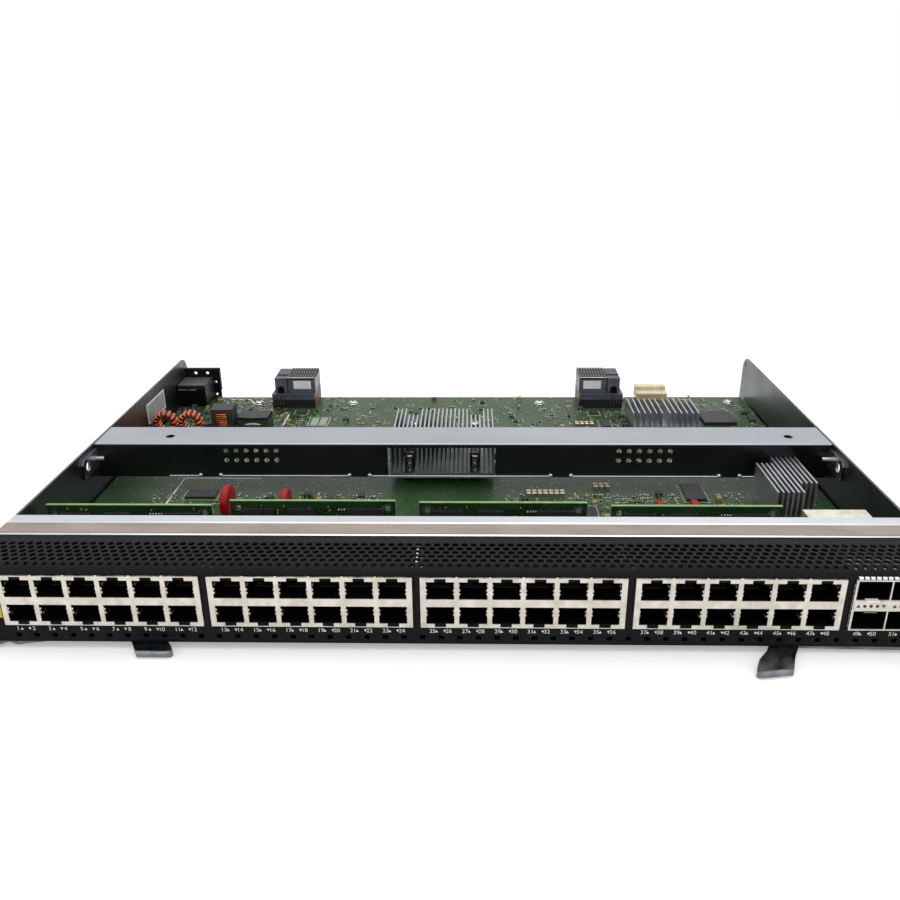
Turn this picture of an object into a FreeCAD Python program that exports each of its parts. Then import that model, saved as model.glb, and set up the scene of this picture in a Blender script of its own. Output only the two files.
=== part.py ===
import FreeCAD, Part
import math
import os

# Switch line card: an open sheet-metal tray that slides into a chassis, with a faceplate full of
# network ports along its front, a main board on standoffs and backplane connectors at its rear.
# While it is modelled, X runs left to right seen from the front, Y from the faceplate's outer
# face (0) to the rear and Z up from the tray's underside (0). Lengths are millimetres.

# ---- tray ------------------------------------------------------------------------------------
cardWidth = 415.0
leftEdge = -cardWidth / 2
rightEdge = cardWidth / 2
trayDepth = 306.0
wallTop = 37.8
sheet = 1.2
bendRadius = 2.0
floorRearGap = 5.5
wallCornerRadius = 9.0
wallHoleDia = 3.0
wallHoleInset = 6.5
wallHoleDrop = 4.6

# ---- main board ------------------------------------------------------------------------------
boardThick = 2.4
standoffHeight = 4.7
boardSideGap = 1.3
boardFrontGap = 2.2
boardRearGap = 7.0
screwDia = 3.0
screwHoleDia = 3.4
screwHeadDia = 6.0
screwHeadHeight = 2.2
screwGrip = 3.0
screwCrown = 0.72
shankDia = 2.9
standoffAcross = 6.0

# ---- faceplate -------------------------------------------------------------------------------
plateSheet = 1.2
plateDeckTop = 37.3
plateNoseRadius = 6.0
deckDepth = 27.2
windowGap = 0.3
grilleRows = 3
grilleColumns = 30
grilleRowPitch = 5.7
grilleEdge = 5.4
grilleBar = 1.2
plateSideMargin = 8.0

# ---- top rail and its gasket -----------------------------------------------------------------
railFront = 27.4
railDepth = 19.2
railSheet = 1.0
railLand = 5.2
railBeadRear = 2.6
railBeadFront = 1.6
railBeadRise = 0.35
railGroove = 1.1
railFlange = 4.0
gasketProud = 0.5
gasketGap = 0.15

# ---- jack blocks: two rows of six ports each -------------------------------------------------
blockCount = 4
frontSpare = 55.24
blockPitch = (cardWidth - frontSpare) / blockCount
blockGap = 3.36
blockWidth = blockPitch - blockGap
rowInset = 13.1
blockRowCentre = leftEdge + rowInset + blockWidth / 2 + (blockCount - 1) / 2 * blockPitch
portColumns = 6
blockSide = 2.4
portWall = 2.04
portPitch = (blockWidth + portWall - 2 * blockSide) / portColumns
portWidth = portPitch - portWall
blockHeight = 24.4
blockDepth = 38.0
blockProud = 0.6
blockLift = 0.3
shieldSheet = 0.5
portDepth = 21.0
beamHeight = 3.72
portBody = 8.4
latchWidth = 4.86
latchHeight = 1.6
contactWidth = 9.4
contactLength = 12.0
contactThick = 0.9

# ---- small form-factor cage: two columns of two openings ---------------------------------------
cageLeft = rightEdge - 41.8
cageColumns = 2
cagePitch = 14.3
cageWall = 0.6
cageOpenHeight = 8.9
cageDepth = 64.8
cageBayDepth = 48.0
cageBelly = 5.4
indicatorThick = 0.4
indicatorMargin = 0.3
hostWidth = 9.6
hostDepth = 10.0
hostHeight = 5.0
collarSheet = 0.3
collarGap = 0.2
collarDepth = 4.8

# ---- cross brace -----------------------------------------------------------------------------
braceFront = 135.6
braceDepth = 26.6
braceTop = 37.6
webDepth = 20.3
rearLip = 4.2
braceEndGap = 0.2
toeDepth = 1.0
toeGap = 11.5
toeCentres = (leftEdge + 65.7, -56.7, 57.2, rightEdge - 55.9)
toeEnd = rightEdge - 42.0
ventRows = 2
ventColumns = 6
ventPitch = 5.7
ventDia = 3.0
ventDrop = 4.3
ventLeft = leftEdge + 90.1
ventRight = rightEdge - 104.2
flangeHoleDia = 5.0
flangeHoles = (leftEdge + 41.1, rightEdge - 21.9)
flangeHoleInset = 11.2
earLength = 20.0
earLow = 24.4
earHigh = 34.8
earChamfer = 2.5
earHoleDia = 5.4
earClearDia = 10.0
earHoleInset = 6.2
earScrewInset = 17.6
earScrewHeight = 4.4

# ---- heatsinks -------------------------------------------------------------------------------
asicLeft = -40.0
asicFront = 146.0
asicSide = 60.0
asicBaseTop = 15.1
asicBaseThick = 2.2
asicTop = 33.0
asicFins = 24
finThick = 0.9
asicChipSide = 45.0
asicNotch = 8.8
asicNotchDepth = 11.0
asicScrewInset = 5.2
asicScrewX = (10.8, 48.8)
springDia = 6.6
headOverhang = 0.2
springWire = 1.0
springHeight = 8.8
asicNotchGap = 0.4

phyLeft = rightEdge - 45.1
phyPitch = 2.6
phyFront = 89.0
phyLate = 11.4
phyShort = 8.8
phyWebGap = 0.4
phyLength = braceFront - phyWebGap - phyFront
phyTop = 30.3
phyBase = 3.0
phyChipHeight = 2.6
phyChipHalf = 8.0
phyFins = 10
phyFrontFins = 6
phyShortFins = 4

rearSinkLeft = rightEdge - 93.2
rearSinkPitch = 3.8
rearSinkFins = 6
rearSinkGap = 5.1
rearSinkFront = trayDepth - 74.0
rearSinkLength = 29.8
rearSinkTop = 20.3
rearSinkBase = 1.2
rearChipHeight = 1.2
rearChipHalf = 11.0

fabricChip = (rightEdge - 42.9, trayDepth - 65.5, 21.8, 21.5, 2.4)

# ---- daughter boards standing behind the jacks -------------------------------------------------
daughterMargin = 4.18
daughterWidth = blockWidth - daughterMargin
daughterThick = 1.6
daughterTop = 33.4
daughterRise = 3.0
daughterHoleDia = 3.2
daughterHoleInset = 4.0
daughterShifts = ((-10.49, 66.2), (-10.63, 71.4), (-6.37, 69.8), (-2.71, 66.6))
headerWidth = 62.0
headerDepth = 6.0
headerHeight = 6.6
headerGap = 0.05
daughterChips = ((-27.0, 15.0, 12.0), (-6.0, 13.0, 12.0), (26.0, 18.0, 9.0))
daughterChipThick = 1.4

# ---- rear connectors ---------------------------------------------------------------------------
linkDepth = 26.0
linkReach = 2.0
linkRear = trayDepth - boardRearGap + linkReach
linkFront = linkRear - linkDepth
linkBaseWidth = 31.0
linkBaseHeight = 10.4
linkBodyWidth = 19.6
linkBodyHeight = 11.4
linkBodySetback = 4.0
linkRibs = 7
linkRibRise = 0.6
linkRibShare = 0.6
linkSlots = 5
linkSlotDepth = 6.0
linkSlotShare = 0.44
linkSlotRise = 3.0
linkSlotDrop = 2.0
guideWidth = 8.4
guideGap = 0.5
guideHoleDia = 4.8
guideSetback = 1.5
guideDrop = 0.9
guideBoreRise = 3.0
linkLeft = leftEdge + 70.5
linkRight = rightEdge - 124.0

shroudLeft = rightEdge - 79.9
shroudWidth = 22.0
shroudDepth = 14.0
shroudFront = trayDepth - shroudDepth
shroudHeight = 7.6
shroudStep = 4.9
shroudStepDepth = 7.5
shroudWall = 1.2

inletLeft = leftEdge + 1.6
inletWidth = 20.3
inletDepth = 28.0
inletHeight = 16.1
inletSlot = 7.2
bladeShares = (0.28, 0.72)
bladeWidth = 2.4
bladeDepth = 8.0
bladeRise = 3.0
inletFootRise = 1.2
inletFrameSheet = 1.2
inletFrameRight = leftEdge + 27.5
inletFrameLip = 3.5
inletFrameGap = 0.2
inletFrameSideRise = 6.0
inletFrameHeight = 22.6
inletHoleDia = 2.4
inletHoles = ((8.3, 19.4), (17.0, 19.4), (22.3, 12.6), (22.3, 3.2))

# ---- power parts -------------------------------------------------------------------------------
coilPlaces = ((leftEdge + 10.5, trayDepth - 83.0), (leftEdge + 27.3, trayDepth - 83.0))
coilDia = 16.4
coilBore = 7.0
coilWidth = 9.0
coilTurns = 12
coilWire = 1.3
coilLift = 0.8
coilSides = 16
windingGap = 0.1
ridgeDepth = 0.7
cradleHeight = 3.0
cradleGap = 0.05
pulsePlace = (leftEdge + 40.4, trayDepth - 80.0, 14.3, 13.0, 16.5)
pulseBobbin = 3.0
pulseWindow = (0.25, 0.75, 0.3, 0.85)
planarPlace = (leftEdge + 56.5, trayDepth - 78.0, 21.0, 17.0, 9.6)
planarArch = 1.4
planarLevel = 0.35
planarSetback = 1.5
planarOverhang = 1.0
discPlaces = ((leftEdge + 84.9, 99.0), (leftEdge + 116.2, 97.0), (rightEdge - 104.9, 84.0), (rightEdge - 87.0, 84.6))
discDia = 19.4
discThick = 5.6
discEdge = 1.6
discSides = 16
discLegTop = 3.9
discLegs = 1.0
discLegPitch = 7.5
discLegDia = 0.8

# ---- small board parts: x, y, width, depth, height ---------------------------------------------
chipPlaces = ((leftEdge + 52.5, 125.0, 17.0, 10.0, 1.4), (rightEdge - 81.0, 123.5, 11.0, 20.0, 1.6),
              (rightEdge - 112.7, trayDepth - 71.0, 6.0, 13.0, 1.6), (rightEdge - 117.5, trayDepth - 45.0, 5.5, 7.0, 1.2),
              (leftEdge + 89.5, trayDepth - 44.0, 7.0, 7.0, 1.2), (-60.0, 104.0, 9.0, 9.0, 1.2),
              (60.0, 100.0, 14.0, 14.0, 1.4), (leftEdge + 107.5, 190.0, 22.0, 22.0, 1.8), (60.0, 190.0, 22.0, 22.0, 1.8))
capRows = ((38.0, 129.0, 7, 3.15), (76.8, 138.0, 3, 3.2), (rightEdge - 130.3, 238.5, 4, 3.3))
capSize = (2.3, 4.4, 2.2)

# ---- ejector levers ----------------------------------------------------------------------------
pivotX = rightEdge - 15.5
pivotY = 6.0
leverSheet = 1.5
leverGap = 0.25
leverArmFront = (0.0, -6.0)
leverHandle = ((45.0, 2.6), (50.6, -4.8), (55.7, -13.5), (67.8, -13.5), (69.7, -12.9), (70.7, -11.2), (68.9, -8.1),
               (66.3, -4.3), (60.3, 1.0), (57.8, 4.6))
leverArmRear = ((52.0, 12.0), (5.0, 8.0), (-5.0, 7.0))
leverClaw = ((-9.0, 0.0), (-13.0, -4.0), (-20.0, -6.5), (-20.5, -12.0), (-16.0, -12.8), (-7.5, -6.3), (-4.0, -4.0))
handleStart = 50.0
hemLength = 5.0
foldSides = 8
hemGap = 0.12
pivotDia = 5.0
pivotClearance = 0.05
pivotHeadDia = 8.6
pivotHeadHeight = 1.2
leverOpenRight = 9.5
leverBayDepth = 20.0
leverBayRise = 0.3

# ---- worked out from the values above ----------------------------------------------------------
halfWidth = cardWidth / 2
innerHalf = halfWidth - sheet
handleFront = min(y for x, y in leverHandle)
foldRadius = leverSheet + hemGap / 2
boardLow = sheet + standoffHeight
boardTop = boardLow + boardThick
blockLow = boardTop + blockLift
blockMid = blockLow + blockHeight / 2
cageWidth = cageColumns * cagePitch + 2 * cageWall
cageHeight = 2 * cageOpenHeight + cageBelly + 2 * cageWall
boardScrews = ((leftEdge + 58.6, trayDepth - 21.0), (leftEdge + 127.4, trayDepth - 21.0), (56.0, trayDepth - 21.0),
               (rightEdge - 14.5, trayDepth - 19.4), (leftEdge + 11.5, 172.0), (leftEdge + 119.5, 172.0),
               (rightEdge - 107.5, 172.0), (rightEdge - 11.5, 172.0))


def box(x0, x1, y0, y1, z0, z1):
    return Part.makeBox(x1 - x0, y1 - y0, z1 - z0, FreeCAD.Vector(x0, y0, z0))


def rod(dia, length, at, along):
    return Part.makeCylinder(dia / 2, length, FreeCAD.Vector(*at), FreeCAD.Vector(*along))


def ringOf(sides, dia, at, along):
    """Corners of a regular polygon on a circle of that diameter, square to an axis."""
    at = FreeCAD.Vector(*at)
    axis = FreeCAD.Vector(*along)
    first = FreeCAD.Vector(0, 1, 0) if along[0] else FreeCAD.Vector(1, 0, 0)
    second = axis.cross(first)
    turn = 2 * math.pi / sides
    return [at + first * (dia / 2 * math.cos(turn * k)) + second * (dia / 2 * math.sin(turn * k))
            for k in range(sides)]


def prism(sides, dia, length, at, along):
    """Regular prism, for small shanks and the holes that they fill."""
    ring = ringOf(sides, dia, at, along)
    return Part.Face(Part.makePolygon(ring + ring[:1])).extrude(FreeCAD.Vector(*along) * length)


def turned(sides, stations, at, along):
    """Many-sided turned form: a diameter at each distance along its axis, with a flat facet on each side."""
    rings = [ringOf(sides, dia, FreeCAD.Vector(*at) + FreeCAD.Vector(*along) * reach, along)
             for dia, reach in stations]
    loops = [rings[0], rings[-1]]
    for near, far in zip(rings, rings[1:]):
        for k in range(sides):
            after = (k + 1) % sides
            loops.append([near[k], near[after], far[after], far[k]])
    shell = Part.makeShell([Part.Face(Part.makePolygon(loop + loop[:1])) for loop in loops])
    return Part.makeSolid(shell)


def plateFrom(points, extrude):
    """Closed polygon through the points, extruded by a vector."""
    wire = Part.makePolygon([FreeCAD.Vector(*p) for p in points + [points[0]]])
    return Part.Face(wire).extrude(FreeCAD.Vector(*extrude))


def cutAll(body, tools):
    return body.cut(Part.makeCompound(tools)) if tools else body


def joined(shapes):
    return shapes[0].multiFuse(shapes[1:]).removeSplitter()


def save(name, shapes):
    """Writes one node, with the row's origin at the middle of the tray's underside."""
    whole = shapes[0] if len(shapes) == 1 else Part.makeCompound(shapes)
    placed = whole.copy()
    placed.translate(FreeCAD.Vector(0, -trayDepth / 2, 0))
    placed.exportStep(os.path.join("parts", name + ".step"))


# ---- sheet metal ---------------------------------------------------------------------------

def makeTray():
    """Floor and side walls folded from one sheet; the floor is stepped up over the levers at the front."""
    outer = box(-halfWidth, halfWidth, plateSheet, trayDepth, 0, wallTop)
    low = [e for e in outer.Edges if abs(e.BoundBox.ZMax) < 0.01 and e.BoundBox.YLength > sheet * 2]
    outer = outer.makeFillet(bendRadius, low)
    inner = box(-innerHalf, innerHalf, -1, trayDepth + 1, sheet, wallTop + 1)
    low = [e for e in inner.Edges if abs(e.BoundBox.ZMax - sheet) < 0.01 and e.BoundBox.YLength > 2 * sheet]
    tray = outer.cut(inner.makeFillet(bendRadius - sheet, low))
    floorEnd = box(-innerHalf + bendRadius, innerHalf - bendRadius,
                   trayDepth - floorRearGap, trayDepth + 1, -1, sheet + 1)
    railSeat = box(-halfWidth - 1, halfWidth + 1, -1, railFront + railDepth + windowGap,
                   wallTop - railFlange, wallTop + 1)
    nose = box(-halfWidth - 1, halfWidth + 1, -1, plateNoseRadius + plateSheet,
               plateDeckTop - plateSheet - plateNoseRadius, wallTop + 1)
    leverBay = box(-halfWidth - 1, halfWidth + 1, -1, leverBayDepth, -1, leverBayRise)
    tools = [floorEnd, railSeat, nose, leverBay]
    for side in (-1, 1):
        tools.append(prism(12, wallHoleDia, 4 * sheet,
                           (side * halfWidth - side * 2 * sheet, trayDepth - wallHoleInset, wallTop - wallHoleDrop),
                           (side, 0, 0)))
        tools.append(prism(20, earClearDia, 4 * sheet,
                           (side * halfWidth - side * 2 * sheet, earFront() + earHoleInset, (earLow + earHigh) / 2),
                           (side, 0, 0)))
        tools.append(prism(8, pivotDia - 1, 3 * sheet, (side * pivotX, pivotY, -sheet), (0, 0, 1)))
    tray = cutAll(tray, tools)
    ends = [e for e in tray.Edges
            if e.BoundBox.YLength < 0.01 and e.BoundBox.ZLength < 0.01 and abs(e.BoundBox.XLength - sheet) < 0.01
            and abs(e.BoundBox.YMax - trayDepth) < 0.01 and e.BoundBox.ZMax > wallTop - 1]
    return tray.makeFillet(wallCornerRadius, ends)


def earFront():
    return braceFront - earLength


def blockCentre(index):
    return blockRowCentre + blockPitch * (index - (blockCount - 1) / 2)


def portCentre(index, column):
    return blockCentre(index) + portPitch * (column - (portColumns - 1) / 2)


def gapDiamond(x, y, halfLong, halfWide, low, high):
    """Long four-cornered gap of the air grille."""
    points = [(x - halfLong, y, low), (x, y - halfWide, low), (x + halfLong, y, low), (x, y + halfWide, low)]
    return plateFrom(points, (0, 0, high - low))


def makeFaceplate():
    """One folded sheet: a grille deck above the ports, a rounded nose and the port wall below it."""
    def bent(inset):
        # outline from the deck's rear end, over the nose and down to the lower edge
        r = plateNoseRadius - inset
        top = plateDeckTop - inset
        centre = FreeCAD.Vector(0, plateNoseRadius, plateDeckTop - plateNoseRadius)
        nose = Part.Arc(FreeCAD.Vector(0, plateNoseRadius, top),
                        centre + FreeCAD.Vector(0, -r * math.sin(math.pi / 4), r * math.sin(math.pi / 4)),
                        FreeCAD.Vector(0, inset, plateDeckTop - plateNoseRadius)).toShape()
        return top, nose, r

    topOut, noseOut, _ = bent(0)
    topIn, noseIn, _ = bent(plateSheet)
    rear, foot = deckDepth, 0.0
    outerEnd = FreeCAD.Vector(0, 0, plateDeckTop - plateNoseRadius)
    innerEnd = FreeCAD.Vector(0, plateSheet, plateDeckTop - plateNoseRadius)
    line = Part.makeLine
    edges = [line(FreeCAD.Vector(0, rear, topOut), FreeCAD.Vector(0, plateNoseRadius, topOut)), noseOut,
             line(outerEnd, FreeCAD.Vector(0, 0, foot)),
             line(FreeCAD.Vector(0, 0, foot), FreeCAD.Vector(0, plateSheet, foot)),
             line(FreeCAD.Vector(0, plateSheet, foot), innerEnd), noseIn,
             line(FreeCAD.Vector(0, plateNoseRadius, topIn), FreeCAD.Vector(0, rear, topIn)),
             line(FreeCAD.Vector(0, rear, topIn), FreeCAD.Vector(0, rear, topOut))]
    face = Part.Face(Part.Wire(Part.__sortEdges__(edges)))
    face.translate(FreeCAD.Vector(-halfWidth, 0, 0))
    plate = face.extrude(FreeCAD.Vector(cardWidth, 0, 0))
    tools = []
    for index in range(blockCount):
        half = blockWidth / 2 + windowGap
        tools.append(box(blockCentre(index) - half, blockCentre(index) + half, -1, 2 * plateSheet,
                         blockLow - windowGap, blockLow + blockHeight + windowGap))
    tools.append(box(cageLeft - windowGap, cageLeft + cageWidth + windowGap, -1, 2 * plateSheet,
                     blockLow - windowGap, blockLow + cageHeight + windowGap))
    pitch = (cardWidth - 2 * plateSideMargin) / (grilleColumns + 0.5)
    halfLong = pitch / 2 - grilleBar / 2
    halfWide = grilleRowPitch / 2 - grilleBar / 2
    for row in range(grilleRows):
        y = deckDepth - grilleEdge - grilleRowPitch * (row + 0.5)
        start = -halfWidth + plateSideMargin + pitch * (0.5 + 0.5 * (row % 2))
        for column in range(grilleColumns):
            tools.append(gapDiamond(start + pitch * column, y, halfLong, halfWide,
                                    plateDeckTop - 2 * plateSheet, plateDeckTop + 1))
    return cutAll(plate, tools)


def makeRail():
    """Folded rail across the top, with a land, two beads and the groove that the gasket lies in."""
    rear = railFront + railDepth
    top = wallTop
    land = rear - railLand
    grooveRear = land - railBeadRear
    grooveFront = railFront + railBeadFront
    floor = top - railGroove
    s = railSheet
    line = [(railFront, top - railFlange), (railFront, top), (railFront + railBeadFront / 2, top + railBeadRise),
            (grooveFront, top), (grooveFront, floor), (grooveRear, floor), (grooveRear, top),
            (grooveRear + railBeadRear / 2, top + railBeadRise), (land, top), (rear, top), (rear, top - railFlange),
            (rear - s, top - railFlange), (rear - s, floor - s), (railFront + s, floor - s),
            (railFront + s, top - railFlange)]
    return plateFrom([(-halfWidth, y, z) for y, z in line], (cardWidth, 0, 0))


def makeGasket():
    """Fabric-over-foam strip with a crowned top, pressed into the rail's groove."""
    front = railFront + railBeadFront + gasketGap
    rear = railFront + railDepth - railLand - railBeadRear - gasketGap
    low = wallTop - railGroove
    high = wallTop + gasketProud
    crown = (rear - front) * 0.16
    line = [(front, low), (front, high - gasketProud), (front + crown, high), (rear - crown, high),
            (rear, high - gasketProud), (rear, low)]
    return plateFrom([(-halfWidth, y, z) for y, z in line], (cardWidth, 0, 0))


def makeBrace():
    """Folded brace across the tray: top flange, vented front web, rear lip, toes and end ears."""
    half = innerHalf - braceEndGap
    rear = braceFront + braceDepth
    webLow = braceTop - webDepth
    section = [(braceFront, webLow), (braceFront, braceTop), (rear, braceTop), (rear, braceTop - rearLip),
               (rear - sheet, braceTop - rearLip), (rear - sheet, braceTop - sheet),
               (braceFront + sheet, braceTop - sheet), (braceFront + sheet, webLow)]
    body = plateFrom([(-half, y, z) for y, z in section], (2 * half, 0, 0))
    folds = [e for e in body.Edges if e.BoundBox.XLength > half and abs(e.BoundBox.ZMin - braceTop) < 0.01]
    body = body.makeFillet(sheet * 0.9, folds)
    pieces = [body]
    ends = [-toeEnd] + [c + k * toeGap / 2 for c in toeCentres for k in (-1, 1)] + [toeEnd]
    for x0, x1 in zip(ends[0::2], ends[1::2]):
        pieces.append(box(x0, x1, braceFront - toeDepth, braceFront, webLow, webLow + sheet))
    for side in (-1, 1):
        x0, x1 = sorted((side * half, side * (half - sheet)))
        ear = [(x0, braceFront + sheet, earLow), (x0, earFront(), earLow),
               (x0, earFront(), earHigh - earChamfer), (x0, earFront() + earChamfer, earHigh),
               (x0, braceFront + sheet, earHigh)]
        pieces.append(plateFrom(ear, (x1 - x0, 0, 0)))
    brace = joined(pieces)
    tools = [box(asicLeft - asicNotchGap, asicLeft + asicSide + asicNotchGap,
                 braceFront - 2 * toeDepth, braceFront + 2 * sheet, webLow - 1, braceTop - 2 * sheet)]
    for centre in (ventLeft, ventRight):
        for column in range(ventColumns):
            for row in range(ventRows):
                x = centre + ventPitch * (column - (ventColumns - 1) / 2)
                tools.append(prism(6, ventDia, 4 * sheet,
                                   (x, braceFront - sheet, braceTop - ventDrop - ventPitch * row), (0, 1, 0)))
    for x in flangeHoles:
        tools.append(rod(flangeHoleDia, 4 * sheet, (x, braceFront + flangeHoleInset, braceTop - 2 * sheet), (0, 0, 1)))
    for side in (-1, 1):
        inner = side * (half - 2 * sheet)
        tools.append(prism(16, earHoleDia, 4 * sheet, (inner, earFront() + earHoleInset, (earLow + earHigh) / 2),
                           (side, 0, 0)))
        tools.append(prism(12, screwDia, 4 * sheet, (inner, earFront() + earScrewInset, (earLow + earHigh) / 2),
                           (side, 0, 0)))
    return cutAll(brace, tools)


def makeBraceScrews():
    """Slim screws that tie the ears to the walls: each fills its ear's hole and stands proud inside."""
    length = earScrewHeight + sheet + braceEndGap
    return [prism(12, screwDia, length,
                  (side * innerHalf, earFront() + earScrewInset, (earLow + earHigh) / 2), (-side, 0, 0))
            for side in (-1, 1)]


# ---- board and what stands on it ---------------------------------------------------------------

def makeBoard():
    half = innerHalf - boardSideGap
    board = box(-half, half, boardFrontGap, trayDepth - boardRearGap, boardLow, boardTop)
    return cutAll(board, [prism(8, screwHoleDia, 2 * boardThick, (x, y, boardLow - 1), (0, 0, 1))
                          for x, y in boardScrews])


def makeStandoffs():
    """Six-sided standoffs pressed into the tray's floor, each tapped for its screw."""
    made = []
    for x, y in boardScrews:
        post = prism(6, standoffAcross * 2 / math.sqrt(3), standoffHeight, (x, y, sheet), (0, 0, 1))
        made.append(post.cut(prism(6, screwDia, standoffHeight, (x, y, boardLow - screwGrip), (0, 0, 1))))
    return made


def panScrew(dia, high, at, shank):
    """Pan-head screw standing on a face, its shank reaching down."""
    x, y, z = at
    head = turned(10, ((dia, 0), (dia, high / 2), (dia * screwCrown, high)), at, (0, 0, 1))
    return joined([head, prism(6, shankDia, shank, (x, y, z - shank), (0, 0, 1))])


def makeBoardScrews():
    """Pan-head screws through the board into the standoffs."""
    return [panScrew(screwHeadDia, screwHeadHeight, (x, y, boardTop), boardThick + screwGrip) for x, y in boardScrews]


def portOutline(x, face, upward, y):
    """Port opening: a wide body, then a narrow slot for the plug's latch."""
    sign = 1 if upward else -1
    w0, w1 = portWidth / 2, latchWidth / 2
    z0 = face
    z1 = z0 + sign * portBody
    z2 = z1 + sign * latchHeight
    return [(x - w0, y, z0), (x + w0, y, z0), (x + w0, y, z1), (x + w1, y, z1), (x + w1, y, z2),
            (x - w1, y, z2), (x - w1, y, z1), (x - w0, y, z1)]


def eachPort(index):
    """The twelve ports of a block: centre, inner face of the beam and whether the latch is on top."""
    for column in range(portColumns):
        x = portCentre(index, column)
        yield x, blockMid + beamHeight / 2, True
        yield x, blockMid - beamHeight / 2, False


def makeShield(index):
    """Tin-plated shield of one jack block: front with twelve openings, top and two sides."""
    x0 = blockCentre(index) - blockWidth / 2
    x1 = x0 + blockWidth
    shell = box(x0, x1, -blockProud, blockDepth, blockLow, blockLow + blockHeight)
    core = box(x0 + shieldSheet, x1 - shieldSheet, -blockProud + shieldSheet, blockDepth + 1,
               blockLow - 1, blockLow + blockHeight - shieldSheet)
    openings = [plateFrom(portOutline(x, face, up, -blockProud - 1), (0, shieldSheet + 2, 0))
                for x, face, up in eachPort(index)]
    return cutAll(shell.cut(core), openings)


def makeHousing(index):
    """Moulded body of one jack block with twelve blind port cavities."""
    x0 = blockCentre(index) - blockWidth / 2 + shieldSheet
    x1 = x0 + blockWidth - 2 * shieldSheet
    front = -blockProud + shieldSheet
    body = box(x0, x1, front, blockDepth, boardTop, blockLow + blockHeight - shieldSheet)
    cavities = []
    for x, face, up in eachPort(index):
        sign = 1 if up else -1
        z0, z1 = sorted((face, face + sign * portBody))
        cavities.append(box(x - portWidth / 2, x + portWidth / 2, front - 1, front + portDepth, z0, z1))
    return cutAll(body, cavities)


def makeContacts(index):
    """Contact carriers, one lying on the beam side of each port."""
    carriers = []
    for x, face, up in eachPort(index):
        z0, z1 = sorted((face, face + (contactThick if up else -contactThick)))
        rear = -blockProud + shieldSheet + portDepth
        carriers.append(box(x - contactWidth / 2, x + contactWidth / 2, rear - contactLength, rear, z0, z1))
    return carriers


def makeCage():
    """Cage of the small form-factor ports: folded box with two openings above and two below a belly."""
    x0, x1 = cageLeft, cageLeft + cageWidth
    z0 = blockLow
    cage = box(x0, x1, -blockProud, -blockProud + cageDepth, z0, z0 + cageHeight)
    bays = []
    for x, z in cageBays():
        bays.append(box(x, x + cagePitch - cageWall, -blockProud - 1, cageBayDepth, z, z + cageOpenHeight))
    return cutAll(cage, bays)


def cageBays():
    for column in range(cageColumns):
        x = cageLeft + cageWall * 1.5 + cagePitch * column
        yield x, blockLow + cageWall
        yield x, blockLow + cageWall + cageOpenHeight + cageBelly


def makeIndicator():
    """Strip across the cage's belly that carries the link lamps."""
    z0 = blockLow + cageWall + cageOpenHeight + indicatorMargin
    return box(cageLeft + cageWall, cageLeft + cageWidth - cageWall, -blockProud - indicatorThick, -blockProud,
               z0, z0 + cageBelly - 2 * indicatorMargin)


def makeHosts():
    """Host connectors at the inner end of each bay."""
    made = []
    for x, z in cageBays():
        middle = x + (cagePitch - cageWall) / 2
        made.append(box(middle - hostWidth / 2, middle + hostWidth / 2, cageBayDepth - hostDepth, cageBayDepth,
                        z, z + hostHeight))
    return made


def makeCollar():
    """Spring collar between the cage and the faceplate's window."""
    x0, x1 = cageLeft, cageLeft + cageWidth
    z0, z1 = blockLow, blockLow + cageHeight
    y0 = plateSheet + collarGap
    y1 = y0 + collarDepth
    t = collarSheet
    outer = box(x0 - t, x1 + t, y0, y1, z0, z1 + t)
    return outer.cut(box(x0, x1, y0 - 1, y1 + 1, z0 - 1, z1))


def finComb(x0, pitch, count, y0, y1, baseLow, baseHigh, top):
    """Extruded heatsink: fins on a base, all one comb-shaped section."""
    line = [(x0, baseLow)]
    for k in range(count):
        x = x0 + pitch * k
        line += [(x, baseHigh), (x, top), (x + finThick, top), (x + finThick, baseHigh)]
    line = line[:1] + line[2:-1] + [(x0 + pitch * (count - 1) + finThick, baseLow)]
    return plateFrom([(x, y0, z) for x, z in line], (0, y1 - y0, 0))


def makeAsicSink():
    pitch = (asicSide - finThick) / (asicFins - 1)
    sink = finComb(asicLeft, pitch, asicFins, asicFront, asicFront + asicSide,
                   asicBaseTop - asicBaseThick, asicBaseTop, asicTop)
    tools = []
    for offset in asicScrewX:
        x = asicLeft + offset
        for y0, y1 in asicNotches():
            tools.append(box(x - asicNotch / 2, x + asicNotch / 2, y0, y1, asicBaseTop, asicTop + 1))
        for y in asicScrewRows():
            tools.append(prism(8, screwHoleDia, 3 * asicBaseThick, (x, y, asicBaseTop - 2 * asicBaseThick),
                               (0, 0, 1)))
    return cutAll(sink, tools)


def asicNotches():
    rear = asicFront + asicSide
    return ((asicFront - 1, asicFront + asicNotchDepth), (rear - asicNotchDepth, rear + 1))


def asicScrewRows():
    return (asicFront + asicScrewInset, asicFront + asicSide - asicScrewInset)


def asicScrewPlaces():
    return [(asicLeft + offset, y) for offset in asicScrewX for y in asicScrewRows()]


def makeAsicScrews():
    """Shoulder screws of the centre heatsink: head on top of the spring, shank down to the board."""
    seat = asicBaseTop + springHeight
    return [panScrew(springDia, screwHeadHeight, (x, y, seat), seat - boardTop) for x, y in asicScrewPlaces()]


def makeAsicSprings():
    """Springs under those heads, as their outer sleeves."""
    outer = springDia - 2 * headOverhang
    made = []
    for x, y in asicScrewPlaces():
        sleeve = prism(10, outer, springHeight, (x, y, asicBaseTop), (0, 0, 1))
        made.append(sleeve.cut(prism(10, outer - 2 * springWire, springHeight, (x, y, asicBaseTop), (0, 0, 1))))
    return made


def makeAsicChip():
    mid = (asicLeft + asicSide / 2, asicFront + asicSide / 2)
    h = asicChipSide / 2
    return box(mid[0] - h, mid[0] + h, mid[1] - h, mid[1] + h, boardTop, asicBaseTop - asicBaseThick)


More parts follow.
